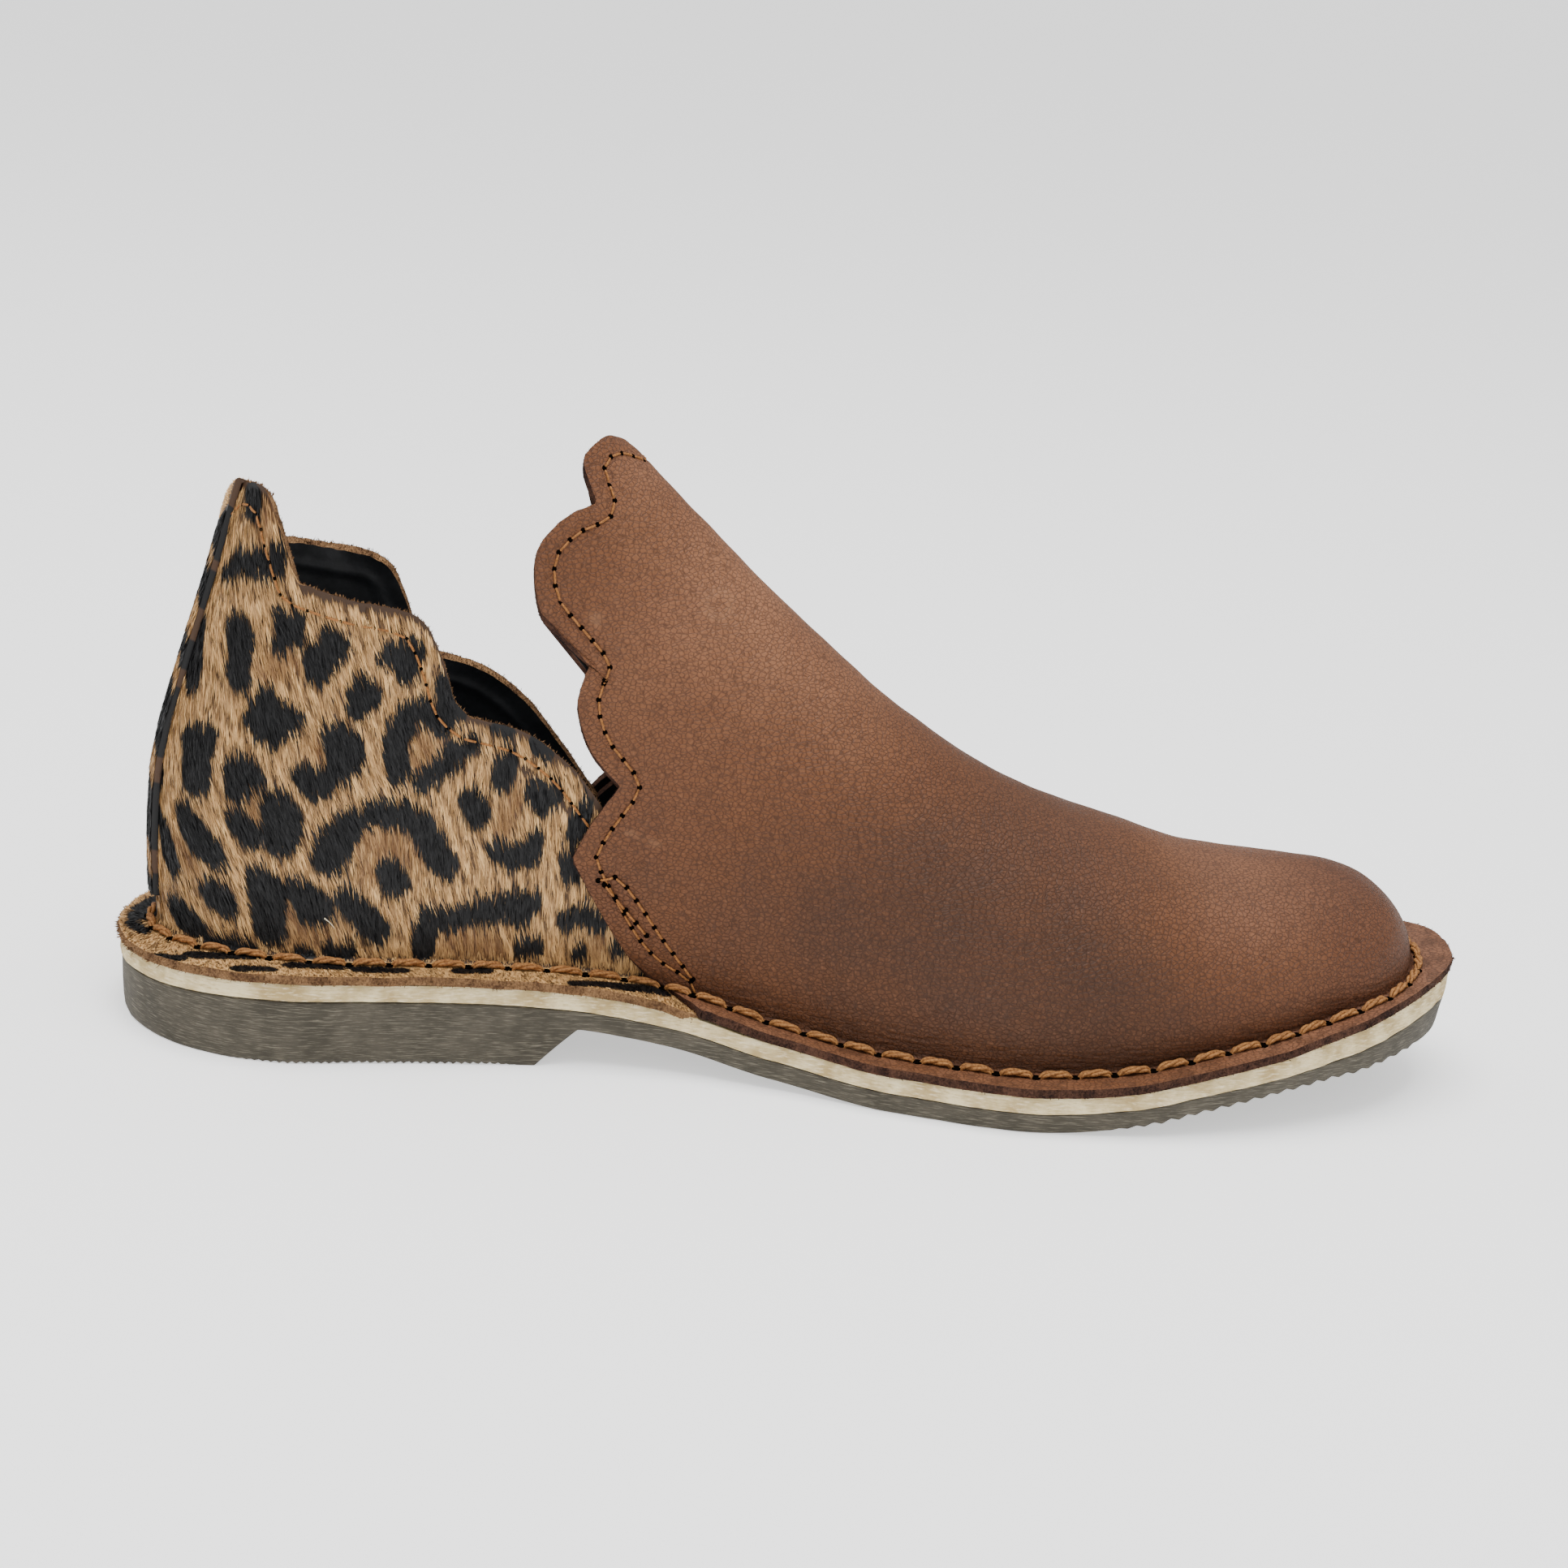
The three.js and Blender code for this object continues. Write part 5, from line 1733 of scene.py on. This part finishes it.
@dataclass
class BackStrip:
    """The hide strip over the back seam, folded over the peak of the collar."""

    finishes: Finishes
    width: float = 14.0
    columns: int = 15
    rows: int = 90
    fold_rows: int = 8
    fold_share: float = 7.0 / 90
    cap_middle: float = 4.0
    cap_side: float = 1.6

    def at_width(self, b: Array, y: Array, grow: float) -> Array:
        """The point of the wall at height b that lies y to the side, found by halving the turn."""
        side = np.where(y < 0, -1.0, 1.0)
        nearer = lambda a: np.abs(LAST.wall(a, b, side, grow)[..., 1]) < np.abs(y)
        return LAST.wall(halve(np.full(b.shape, -1.0), np.full(b.shape, -0.3), nearer), b, side, grow)

    def sheet(self, out_grow: float, in_grow: float) -> Array:
        """One face of the strip: up the back, round the collar's edge and down inside.

        Args:
            out_grow: Distance outwards on the back.
            in_grow: Distance outwards, under 0, on the inside.

        Returns:
            A grid of points, a row for each step of the path.
        """
        y = np.linspace(-1, 1, self.columns) * self.width / 2
        levels = np.linspace(0, 1, self.rows)
        under = lambda b: under_collar(self.at_width(b, y, 0.0))
        top_b = halve(np.full(y.shape, 0.05), np.full(y.shape, 0.98), under)
        foot_b = 0.012
        b_out = foot_b + (top_b[None, :] * 0.99 - foot_b) * levels[:, None]
        back = self.at_width(b_out, np.broadcast_to(y, b_out.shape), out_grow)
        depth = np.linspace(0, 1, self.fold_rows)[:, None]
        b_in = top_b[None, :] * (1 - depth * self.fold_share)
        inside = self.at_width(b_in, np.broadcast_to(y, b_in.shape), in_grow)
        centre = (back[-1] + inside[0]) / 2
        reach = (back[-1] - inside[0]) / 2
        angle = np.linspace(0, np.pi, self.fold_rows)[1:-1, None, None]
        lift = np.linalg.norm(reach, axis=-1, keepdims=True) * np.array([0.0, 0.0, 0.4])
        arc = centre + np.cos(angle) * reach + np.sin(angle) * lift
        return np.vstack([back, arc, inside])

    def build(self) -> None:
        """Builds the strip with its bands and its hair, which lies down the back and across the cap."""
        outer = self.sheet(STRIP_OUT, -HIDE_WALL - STRIP_OUT)
        inner = self.sheet(STRIP_OUT - STRIP_WALL, -HIDE_WALL - STRIP_OUT + STRIP_WALL)
        build = thick_sheet(outer, inner, "tblr", (0, 1, 0), 0.1, flip=False)
        tops = np.stack([outer[self.rows - 1, :, 1], outer[self.rows - 1, :, 2]])
        # The fold and the part inside count as lying over the strip's top, and so as cap.
        height = outer[..., 2].copy()
        height[self.rows :] = tops[1] + 1.0
        place = np.stack([outer[..., 1], height], axis=-1)
        for name, value in zip(("spot", "rosette"), self.bands(place, tops)):
            build.values[name] = spread_value(build, value)
        f = self.finishes
        build.make("back_strip_hide", [f.hide, f.strip_edge], ("back_strip",), "back_strip")
        normal = grid_normals(outer)
        normal *= np.sign(-normal[len(outer) // 2, :, 0].mean())
        cap = self.over_cap(place, tops)
        fall = np.where(cap, 0.2, np.radians(88.0))
        to_foot = outer[..., 2] - outer[:1, :, 2]
        reach = np.where(cap, 1.7, np.maximum(np.minimum(to_foot, 6.0), 0.5))
        coat = Coat("back_strip_hair", "back_strip", 11000, 23, (2.2, 4.2), 0.24)
        hair = coat.grow(outer, normal, np.ones(self.columns), fall, reach, outer[..., 1], height)
        place = np.stack([hair.values["u"], hair.values["v"]], axis=1)
        shade = hair.values["shade"]
        hair.values["shade"] = np.where(self.over_cap(place, tops), 0.5 + 0.5 * shade, shade)
        coat.make(hair, *self.bands(place, tops), f.hide)

    def over_cap(self, places: Array, tops: Array) -> Array:
        """Where a y and a level lie on the folded cap, which reaches deeper down at its sides."""
        y = places[..., 0]
        depth = self.cap_middle + self.cap_side * (2 * y / self.width) ** 2
        return places[..., 1] > np.interp(y, tops[0], tops[1]) - depth

    def bands(self, places: Array, tops: Array) -> tuple:
        """The strip's pattern: black, with tan tufts at five levels, and a pale cap.

        Args:
            places: The y and the level of places on the strip, along the last axis.
            tops: The y and the level of the strip's top, one column for each of its columns.

        Returns:
            Distance to the black's edge and to a brown centre's edge, in millimetres.
        """
        y = places[..., 0]
        level = places[..., 1] + 1.6 * np.sin(y / 1.7) + 0.2 * y
        black = np.full(level.shape, -9.0)
        for middle, half in ((92.0, 1.0), (80.0, 3.2), (69.0, 1.8), (50.0, 2.6), (31.0, 2.4)):
            black = np.maximum(black, half - np.abs(level - middle))
        cap = self.over_cap(places, tops)
        return np.where(cap, 3.0, black), np.where(cap, 0.9, 0.8)


# Profile of a sole layer's side from the inner top to the inner bottom, as (inward, share of the height).
PROFILE = (
    (9.0, 1.0), (0.5, 1.0), (0.12, 0.97), (0.0, 0.85), (0.0, 0.5), (0.0, 0.2), (0.1, 0.04), (0.5, 0.0),
    (9.0, 0.0),
)


@dataclass
class SoleLayer:
    """A layer of the sole as a ring of sections: an outline, a top, a bottom and rounded edges."""

    name: str
    node: str
    slot: str
    inset: float
    draft: float
    steps: int = 420

    def levels(self, x: Array) -> tuple:
        """Top and bottom levels at places along the shoe."""
        raise NotImplementedError

    def wear(self, points: Array) -> Array:
        """How much the side stands out or in at points, in millimetres."""
        return np.zeros(points.shape[:-1])

    def build(self, material: bpy.types.Material) -> None:
        """Builds the layer.

        Both sides of the outline run from the back to the toe as closed rings of sections, so that the
        grid is (around, profile). Top and bottom are closed by quads across the centre line.

        Args:
            material: Its finish.
        """
        half_steps = self.steps // 2
        share = (1 - np.cos(np.linspace(0, np.pi, half_steps))) / 2
        x = self.inset + share * (LAST.length - 2 * self.inset)
        x = np.sort(np.concatenate([x, np.arange(20.0, 255.0, 0.55)]))
        rings = []
        for inward, up in PROFILE:
            inset = self.inset + inward + self.draft * (1 - up)
            span = (x - self.inset) / (LAST.length - 2 * self.inset)
            xs = inset + span * (LAST.length - 2 * inset)
            centre, half = LAST.outline(xs, inset)
            top, bottom = self.levels(xs)
            z = bottom + (top - bottom) * up
            medial = np.stack([xs, centre - half, z], axis=-1)
            lateral = np.stack([xs, centre + half, z], axis=-1)
            rings.append(np.vstack([medial, lateral[::-1][1:-1]]))
        grid = np.stack(rings, axis=1)
        count = grid.shape[0]
        away = unit((grid - grid[:, :1]) * (1, 1, 0))
        grid = grid + away * self.wear(grid)[..., None]
        profile = grid.shape[1]
        number = np.arange(count * profile).reshape(count, profile)
        closed = np.vstack([number, number[:1]])
        corners = [closed[:-1, :-1], closed[:-1, 1:], closed[1:, 1:], closed[1:, :-1]]
        faces = [np.stack([c.ravel() for c in corners], axis=-1)]
        n = len(x)
        left = np.arange(0, n)
        right = np.concatenate([[0], np.arange(count - 1, n - 1, -1), [n - 1]])
        for column, flip in ((0, False), (profile - 1, True)):
            quads = strip_faces(number[left, column], number[right, column])
            faces.append(quads[:, ::-1] if flip else quads)
        all_faces = np.vstack(faces)
        build = Build(grid.reshape(-1, 3), all_faces, np.zeros(len(all_faces)))
        build.make(self.name, [material], (self.node,), self.slot, 35.0)


@dataclass
class Midsole(SoleLayer):
    """The cream leatherboard layer."""

    def levels(self, x: Array) -> tuple:
        """From just inside the flange down to the skived rubber, which lies lower at the toe."""
        base = LAST.flange_bottom(x)
        return base + 0.4, skive_level(x)

    def wear(self, points: Array) -> Array:
        """A skived edge: a shallow wander of 0.15 mm."""
        return 0.15 * wave_noise(points, 6.0, 21, 3)


def skive_level(x: Array) -> Array:
    """Level of the line between the cream layer and the rubber."""
    return LAST.flange_bottom(x) - LAST.midsole - SKIVE - TOE_SKIVE * smoothstep(205, 262, x)


@dataclass
class Outsole(SoleLayer):
    """The moulded rubber sole with its heel block."""

    breast: float = 84.0
    slant: float = 8.0
    toe_bumper: float = 4.2

    def levels(self, x: Array) -> tuple:
        """Flat under the heel, a slanted breast, the thin waist and forepart, and a thicker toe.

        The tread's edge is a fine saw, with teeth of 1.6 mm under the heel and of 3.4 mm at the toe.
        """
        tread = np.maximum(LAST.flange_bottom(x) - LAST.midsole - LAST.tread, 0)
        rise = np.clip((x - self.breast) / self.slant, 0, 1)
        pitch = np.where(x > 190, 3.4, 1.6)
        tooth = np.abs((x / pitch) % 1 - 0.5) * 2
        heel = 0.6 * smoothstep(20, 40, x) * (1 - smoothstep(74, 82, x))
        toe = 0.72 * smoothstep(192, 205, x) * (1 - smoothstep(258, 266, x))
        bottom = tread * rise - self.toe_bumper * smoothstep(226, 268, x)
        return skive_level(x), bottom + (heel + toe) * tooth

    def wear(self, points: Array) -> Array:
        """A buffed edge: a wander of 0.1 mm."""
        return 0.1 * wave_noise(points, 8.0, 31, 3)


# ---- Threads


def rings(axes: Array, guide: tuple, sides: int) -> Array:
    """Circles of radius 1 across each axis, begun from a guide direction that no axis follows."""
    first = unit(np.cross(axes, guide))
    second = np.cross(axes, first)
    angle = np.linspace(0, 2 * np.pi, sides, endpoint=False)[:, None]
    return np.cos(angle) * first[..., None, :] + np.sin(angle) * second[..., None, :]


def repeated(points: Array, faces: Array) -> tuple:
    """Points and faces of many copies: an axis of copies in points, and the faces of one of them."""
    offsets = np.arange(len(points)) * points.shape[1]
    return points.reshape(-1, 3), (faces[None] + offsets[:, None, None]).reshape(-1, 4)


def tubes(paths: Array, radii: Array, sides: int = 6) -> tuple:
    """Round tubes along many paths at once.

    Args:
        paths: Points with axes path, step, xyz.
        radii: Radius with axes path, step.
        sides: Number of sides.

    Returns:
        Points and faces. The first and last rings are closed by a point each. Each ring lies across the
        path's direction, in two directions at right angles to it.
    """
    count, steps = paths.shape[:2]
    ring = rings(unit(np.gradient(paths, axis=1)), (0.13, 0.27, 0.95), sides)
    body = paths[:, :, None] + ring * radii[:, :, None, None]
    points = np.concatenate([body.reshape(count, -1, 3), paths[:, [0, -1]]], axis=1)
    number = np.arange(steps * sides).reshape(steps, sides)
    closed = np.hstack([number, number[:, :1]])
    corners = [closed[:-1, :-1], closed[1:, :-1], closed[1:, 1:], closed[:-1, 1:]]
    quads = np.stack(corners, axis=-1).reshape(-1, 4)
    start, end = np.full(sides, steps * sides), np.full(sides, steps * sides + 1)
    low = np.stack([closed[0, 1:], closed[0, :-1], start, start], axis=-1)
    high = np.stack([closed[-1, :-1], closed[-1, 1:], end, end], axis=-1)
    return repeated(points, np.vstack([quads, low, high]))


def thread_piece(name: str, points: Array, faces: Array, material: bpy.types.Material) -> None:
    """Makes one piece of many threads."""
    mesh = new_mesh(name, points, faces, [material])
    mesh.shade_smooth()
    work = bmesh.new()
    work.from_mesh(mesh)
    bmesh.ops.recalc_face_normals(work, faces=work.faces)
    work.to_mesh(mesh)
    work.free()
    add_piece(name, mesh)


def stitch_paths(line: Array, normals: Array, fill: float, lift: float, sink: float, steps: int = 8) -> Array:
    """Short stitches between the points of a line.

    Args:
        line: The needle holes, in order.
        normals: The surface's normals there.
        fill: Share of the pitch that a stitch spans.
        lift: Height of a stitch's middle over the surface.
        sink: How deep its ends dive.

    Returns:
        Paths with axes stitch, step, xyz: straight from hole to hole, on an arch of height
        lift * (1 - q^4) - sink * q^8 with q from -1 to 1.
    """
    start, end = line[:-1], line[1:]
    middle = (start + end) / 2
    q = np.linspace(-1, 1, steps)
    along = (end - start)[:, None] / 2 * fill
    arch = lift * (1 - q**4) - sink * q**8
    normal = (normals[:-1] + normals[1:])[:, None] / 2
    return middle[:, None] + along * q[None, :, None] + normal * arch[None, :, None]


def hole_discs(centres: Array, normals: Array, radius: float, sides: int = 8) -> tuple:
    """Small dark discs just over the surface, as flat cones with a shallow rim.

    Args:
        centres: The needle holes.
        normals: The surface's normals there.
        radius: The discs' radius.
        sides: Number of sides.

    Returns:
        Points and faces, one fan of triangles for each hole.
    """
    ring = rings(normals, (0.31, 0.17, 0.93), sides)
    top = centres[:, None] + ring * radius + normals[:, None] * 0.07
    low = centres[:, None] + ring * radius * 1.1 - normals[:, None] * 0.4
    middle = (centres + normals * 0.09)[:, None]
    base = (centres - normals * 0.45)[:, None]
    points = np.concatenate([top, low, middle, base], axis=1)
    a = np.arange(sides)
    b = (a + 1) % sides
    m, n = np.full(sides, 2 * sides), np.full(sides, 2 * sides + 1)
    fan = np.stack([a, b, m, m], axis=-1)
    wall = np.stack([a, a + sides, b + sides, b], axis=-1)
    under = np.stack([b + sides, a + sides, n, n], axis=-1)
    return repeated(points, np.vstack([fan, wall, under]))


def inset_line(grid: Array, normals: Array, edge: Array, inset: float, by_rows: bool) -> tuple:
    """The line on a grid at a distance from a cut edge.

    Args:
        grid: The outer grid.
        normals: Its normals.
        edge: The edge's polyline.
        inset: The distance.
        by_rows: True where each row starts at the edge, False where each column ends at it.

    Returns:
        Points and normals, one for each row or column: the first place at least that far from the edge.
    """
    if not by_rows:
        grid, normals = grid[::-1].transpose(1, 0, 2), normals[::-1].transpose(1, 0, 2)
    grid, normals = grid[:, :40], normals[:, :40]
    gap = distance_to(grid, edge)
    first = np.argmax(gap >= inset, axis=1)
    good = first > 0
    rows = np.nonzero(good)[0]
    k = first[good]
    g0, g1 = gap[rows, k - 1], gap[rows, k]
    t = ((inset - g0) / np.maximum(g1 - g0, 1e-6))[:, None]
    point = grid[rows, k - 1] * (1 - t) + grid[rows, k] * t
    return point, normals[rows, k]


@dataclass
class Threads:
    """All the sewing: the thick cord on the flange and the fine seams of vamp and collar."""

    finishes: Finishes
    cord_pitch: float = 7.8
    cord_radius: float = 0.42
    cord_plies: int = 3
    seam_pitch: float = 3.3
    seam_radius: float = 0.24

    def flange_cord(self) -> None:
        """The three-ply cord round the flange, diving into a hole after each stitch.

        Each ply is a flattened helix about the stitch's arch, 1.25 of the ply's radius across and 0.8 of it
        up. The three are spread evenly round it, make three quarters of a turn a stitch, and narrow at
        its ends.
        """
        a = LAST.place(np.linspace(LAST.travel(np.array(-1.0)), LAST.travel(np.array(2.0)), 900))
        lines = []
        for side in (-1.0, 1.0):
            foot = LAST.wall(a, 0.0, side, 0.0)
            grow = np.where(a > LAST.along(LAP_START), VAMP_OUT, 0.0)
            out = unit((LAST.rim(a, side) - foot) * (1, 1, 0))
            point = foot + out * (grow + 1.9)[:, None]
            point[:, 2] = LAST.flange_top(point[:, 0]) + 0.25
            point[:, 2] += flange_lap(point[:, 0]) * smoothstep(109, LAP_START, point[:, 0])
            lines.append(point)
        loop = np.vstack([lines[0], lines[1][::-1]])
        total = travelled(loop)[-1]
        holes = resample(loop, total / int(round(total / self.cord_pitch)))
        normals = np.tile(np.array([0.0, 0.0, 1.0]), (len(holes), 1))
        arch = stitch_paths(holes, normals, 0.9, 0.6, 1.5, 26)
        ahead = unit(np.gradient(arch, axis=1))
        across = unit(np.cross(ahead, (0.0, 0.0, 1.0)))
        upward = np.cross(across, ahead)
        turn = np.linspace(0, 1.5 * np.pi, arch.shape[1])[None, :, None]
        start = (np.arange(len(arch)) * 0.7)[:, None, None]
        q = np.linspace(-1, 1, arch.shape[1])
        waist = 1 - 0.6 * q**4
        paths = []
        for ply in range(self.cord_plies):
            angle = turn + 2 * np.pi * ply / self.cord_plies + start
            swing = np.cos(angle) * across * 1.25 + np.sin(angle) * upward * 0.8
            paths.append(arch + self.cord_radius * waist[None, :, None] * swing)
        stack = np.concatenate(paths)
        points, faces = tubes(stack, np.broadcast_to(self.cord_radius * waist, stack.shape[:2]), 7)
        thread_piece("flange_cord", points, faces, self.finishes.thread)
        points, faces = hole_discs(holes, normals, 0.95, 9)
        thread_piece("flange_cord_holes", points, faces, self.finishes.hole)

    def seam(self, name: str, line: Array, normals: Array, slot: str, hole: float = 0.55) -> None:
        """A fine seam along a line on the surface, with needle holes of a given radius."""
        both = resample(np.hstack([line, normals]), self.seam_pitch)
        holes, across = both[:, :3], both[:, 3:]
        across = unit(across)
        paths = stitch_paths(holes, across, 0.86, 0.22, 0.6, 9)
        q = np.linspace(-1, 1, paths.shape[1])
        radius = np.broadcast_to(self.seam_radius * (1 - 0.3 * q**4), paths.shape[:2])
        points, faces = tubes(paths, radius, 6)
        thread_piece(name, points, faces, self.finishes.fine_thread)
        points, faces = hole_discs(holes, across, hole, 8)
        thread_piece(name + "_holes", points, faces, self.finishes.hole)

    def on_wall(self, places: tuple, side: float, grow: float) -> tuple:
        """Points of the wall at given places along the shoe and levels, with rough normals."""
        at = resample(np.array(places, float), 0.5)
        a = LAST.along(at[:, 0])
        under = lambda s: LAST.skin(a, s, side, grow)[:, 2] < at[:, 1]
        low = halve(np.zeros(len(at)), np.ones(len(at)), under)
        point = LAST.skin(a, low, side, grow)
        ahead = LAST.skin(a + 0.004, low, side, grow) - point
        up = LAST.skin(a, np.minimum(low + 0.01, 1), side, grow) - point
        normal = unit(np.cross(ahead, up) * side)
        normal *= np.sign((normal[:, 1] * side).mean())
        return point, normal

    def wing_rows(self) -> None:
        """The second row of stitches down each wing, with its short top."""
        second = (
            (93.9, 37.8), (97.6, 38.8), (100.4, 35.8), (103.7, 31.5), (107.1, 26.8), (110.7, 22.5),
            (114.0, 18.6),
        )
        for side, name in ((-1.0, "medial"), (1.0, "lateral")):
            line, normal = self.on_wall(second, side, VAMP_OUT)
            self.seam(f"wing_seam_{name}", line, normal, "vamp")
        # Where the first row starts, the near wing was sewn over twice.
        line, normal = self.on_wall(((95.2, 37.0), (99.8, 31.8), (104.2, 27.0)), -1.0, VAMP_OUT + 0.2)
        self.seam("wing_backstitch", line, normal, "vamp")

    def bristle(self) -> None:
        """One stray pale bristle in the medial quarter's coat, a tube that thins towards its lifted end."""
        line, normal = self.on_wall(((33.5, 28.0), (37.0, 27.4), (40.5, 26.3)), -1.0, 0.0)
        share = np.linspace(0, 1, len(line))[:, None]
        path = line + normal * (0.5 + 0.6 * share)
        points, faces = tubes(path[None], 0.17 * (1 - 0.8 * share[None, :, 0]), 5)
        thread_piece("stray_bristle", points, faces, self.finishes.bristle)


# ---- Scene


@dataclass
class Studio:
    """The pale floor, the soft lights and the camera at the photo's angle."""

    azimuth: float = math.radians(-6.0)
    elevation: float = math.radians(16.0749)
    roll: float = math.radians(5.2997)
    distance: float = 700.0
    focal_px: float = 4279.607
    target: tuple = (130.885, 0.0, 53.192)
    sensor_mm: float = 36.0

    def camera(self) -> None:
        """Places the camera from its angles, its distance and its target."""
        a, e, r = self.azimuth, self.elevation, self.roll
        back = Vector((math.sin(a) * math.cos(e), -math.cos(a) * math.cos(e), math.sin(e)))
        right = Vector((math.cos(a), math.sin(a), 0))
        up = Vector((-math.sin(a) * math.sin(e), math.cos(a) * math.sin(e), math.cos(e)))
        rolled_right = math.cos(r) * right + math.sin(r) * up
        rolled_up = -math.sin(r) * right + math.cos(r) * up
        target = Vector((self.target[0] - REST_AT, self.target[1], self.target[2]))
        place = (target + self.distance * back) * METRE
        data = bpy.data.cameras.new("photo_camera")
        data.sensor_width = self.sensor_mm
        data.lens = self.focal_px / IMAGE_SIDE * self.sensor_mm
        data.clip_start = 0.01
        camera = bpy.data.objects.new("photo_camera", data)
        turn = Matrix((rolled_right, rolled_up, back)).transposed().to_4x4()
        camera.matrix_world = Matrix.Translation(place) @ turn
        bpy.context.scene.collection.objects.link(camera)
        bpy.context.scene.camera = camera

    def floor(self) -> None:
        """A large plain pale floor."""
        mesh = bpy.data.meshes.new("floor")
        side = 6.0
        corners = [(-side, -side, 0), (side, -side, 0), (side, side, 0), (-side, side, 0)]
        mesh.from_pydata(corners, [], [(0, 1, 2, 3)])
        f = Finish("matt_white_floor")
        f.fix(Base_Color=linear("#F4F4F4"), Roughness=0.9, Specular_IOR_Level=0.0)
        f.fix(Emission_Color=(1.0, 1.0, 1.0, 1.0), Emission_Strength=0.75)
        mesh.materials.append(f.material)
        floor = bpy.data.objects.new("floor", mesh)
        bpy.context.scene.collection.objects.link(floor)

    def lights(self) -> None:
        """A bright even world, a wide key from above and the front, and a weak fill from the toe's side."""
        world = bpy.data.worlds.new("studio")
        bpy.context.scene.world = world
        world.use_nodes = True
        background = world.node_tree.nodes["Background"]
        background.inputs["Color"].default_value = (1, 1, 1, 1)
        way = add_node(world.node_tree, "TexCoord", {}).outputs["Generated"]
        height = add_node(world.node_tree, "SeparateXYZ", {0: way}).outputs["Z"]
        spread = {"From Min": 0.0, "From Max": 0.9, "To Min": 0.22, "To Max": 1.15}
        glow = add_node(world.node_tree, "MapRange", {"Value": height, **spread})
        world.node_tree.links.new(glow.outputs[0], background.inputs["Strength"])
        lamps = (
            ("key_light", (0.02, -0.2, 1.2), (0.09, 0.0, 0.05), 0.9, 17.0),
            ("front_light", (-0.2, -1.3, 0.6), (0.1, 0.0, 0.05), 0.7, 2.0),
        )
        for name, place, aim, size, power in lamps:
            data = bpy.data.lights.new(name, "AREA")
            data.shape = "SQUARE"
            data.size = size
            data.energy = power
            lamp = bpy.data.objects.new(name, data)
            way = Vector(place) - Vector(aim)
            lamp.matrix_world = Matrix.Translation(place) @ way.to_track_quat("Z", "Y").to_matrix().to_4x4()
            bpy.context.scene.collection.objects.link(lamp)


def main() -> None:
    """Builds every piece in order."""
    logging.basicConfig(level=logging.INFO, format="%(name)s %(message)s")
    finishes = Finishes().make()
    studio = Studio()
    studio.camera()
    studio.floor()
    studio.lights()
    Midsole("midsole_board", "midsole", "midsole", inset=0.35, draft=0.0).build(finishes.midsole)
    Outsole("outsole_rubber", "outsole", "outsole", inset=0.6, draft=1.1).build(finishes.outsole)
    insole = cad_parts["insole"]
    insole.data.materials.clear()
    insole.data.materials.append(finishes.lining)
    Lining(finishes).build()
    vamp_grid, vamp_normals, vamp_edge = Vamp(finishes).build()
    hide_grid, hide_normals, collar = Quarters(finishes).build()
    BackStrip(finishes).build()
    threads = Threads(finishes)
    threads.flange_cord()
    wall = slice(len(FLANGE_ROWS), -len(FLANGE_ROWS))
    line, normal = inset_line(vamp_grid[wall], vamp_normals[wall], vamp_edge, SCALLOP_INSET, True)
    threads.seam("scallop_seam", line, normal, "vamp")
    threads.wing_rows()
    threads.bristle()
    line, normal = inset_line(hide_grid, hide_normals, collar, COLLAR_INSET, False)
    threads.seam("collar_seam", line + COLLAR_SEAM_LIFT * normal, normal, "upper", hole=0.34)


def plain(box: tuple) -> list:
    """A box as plain lists of numbers."""
    return [[float(c) for c in corner] for corner in box]


if __name__ == "__main__":
    main()
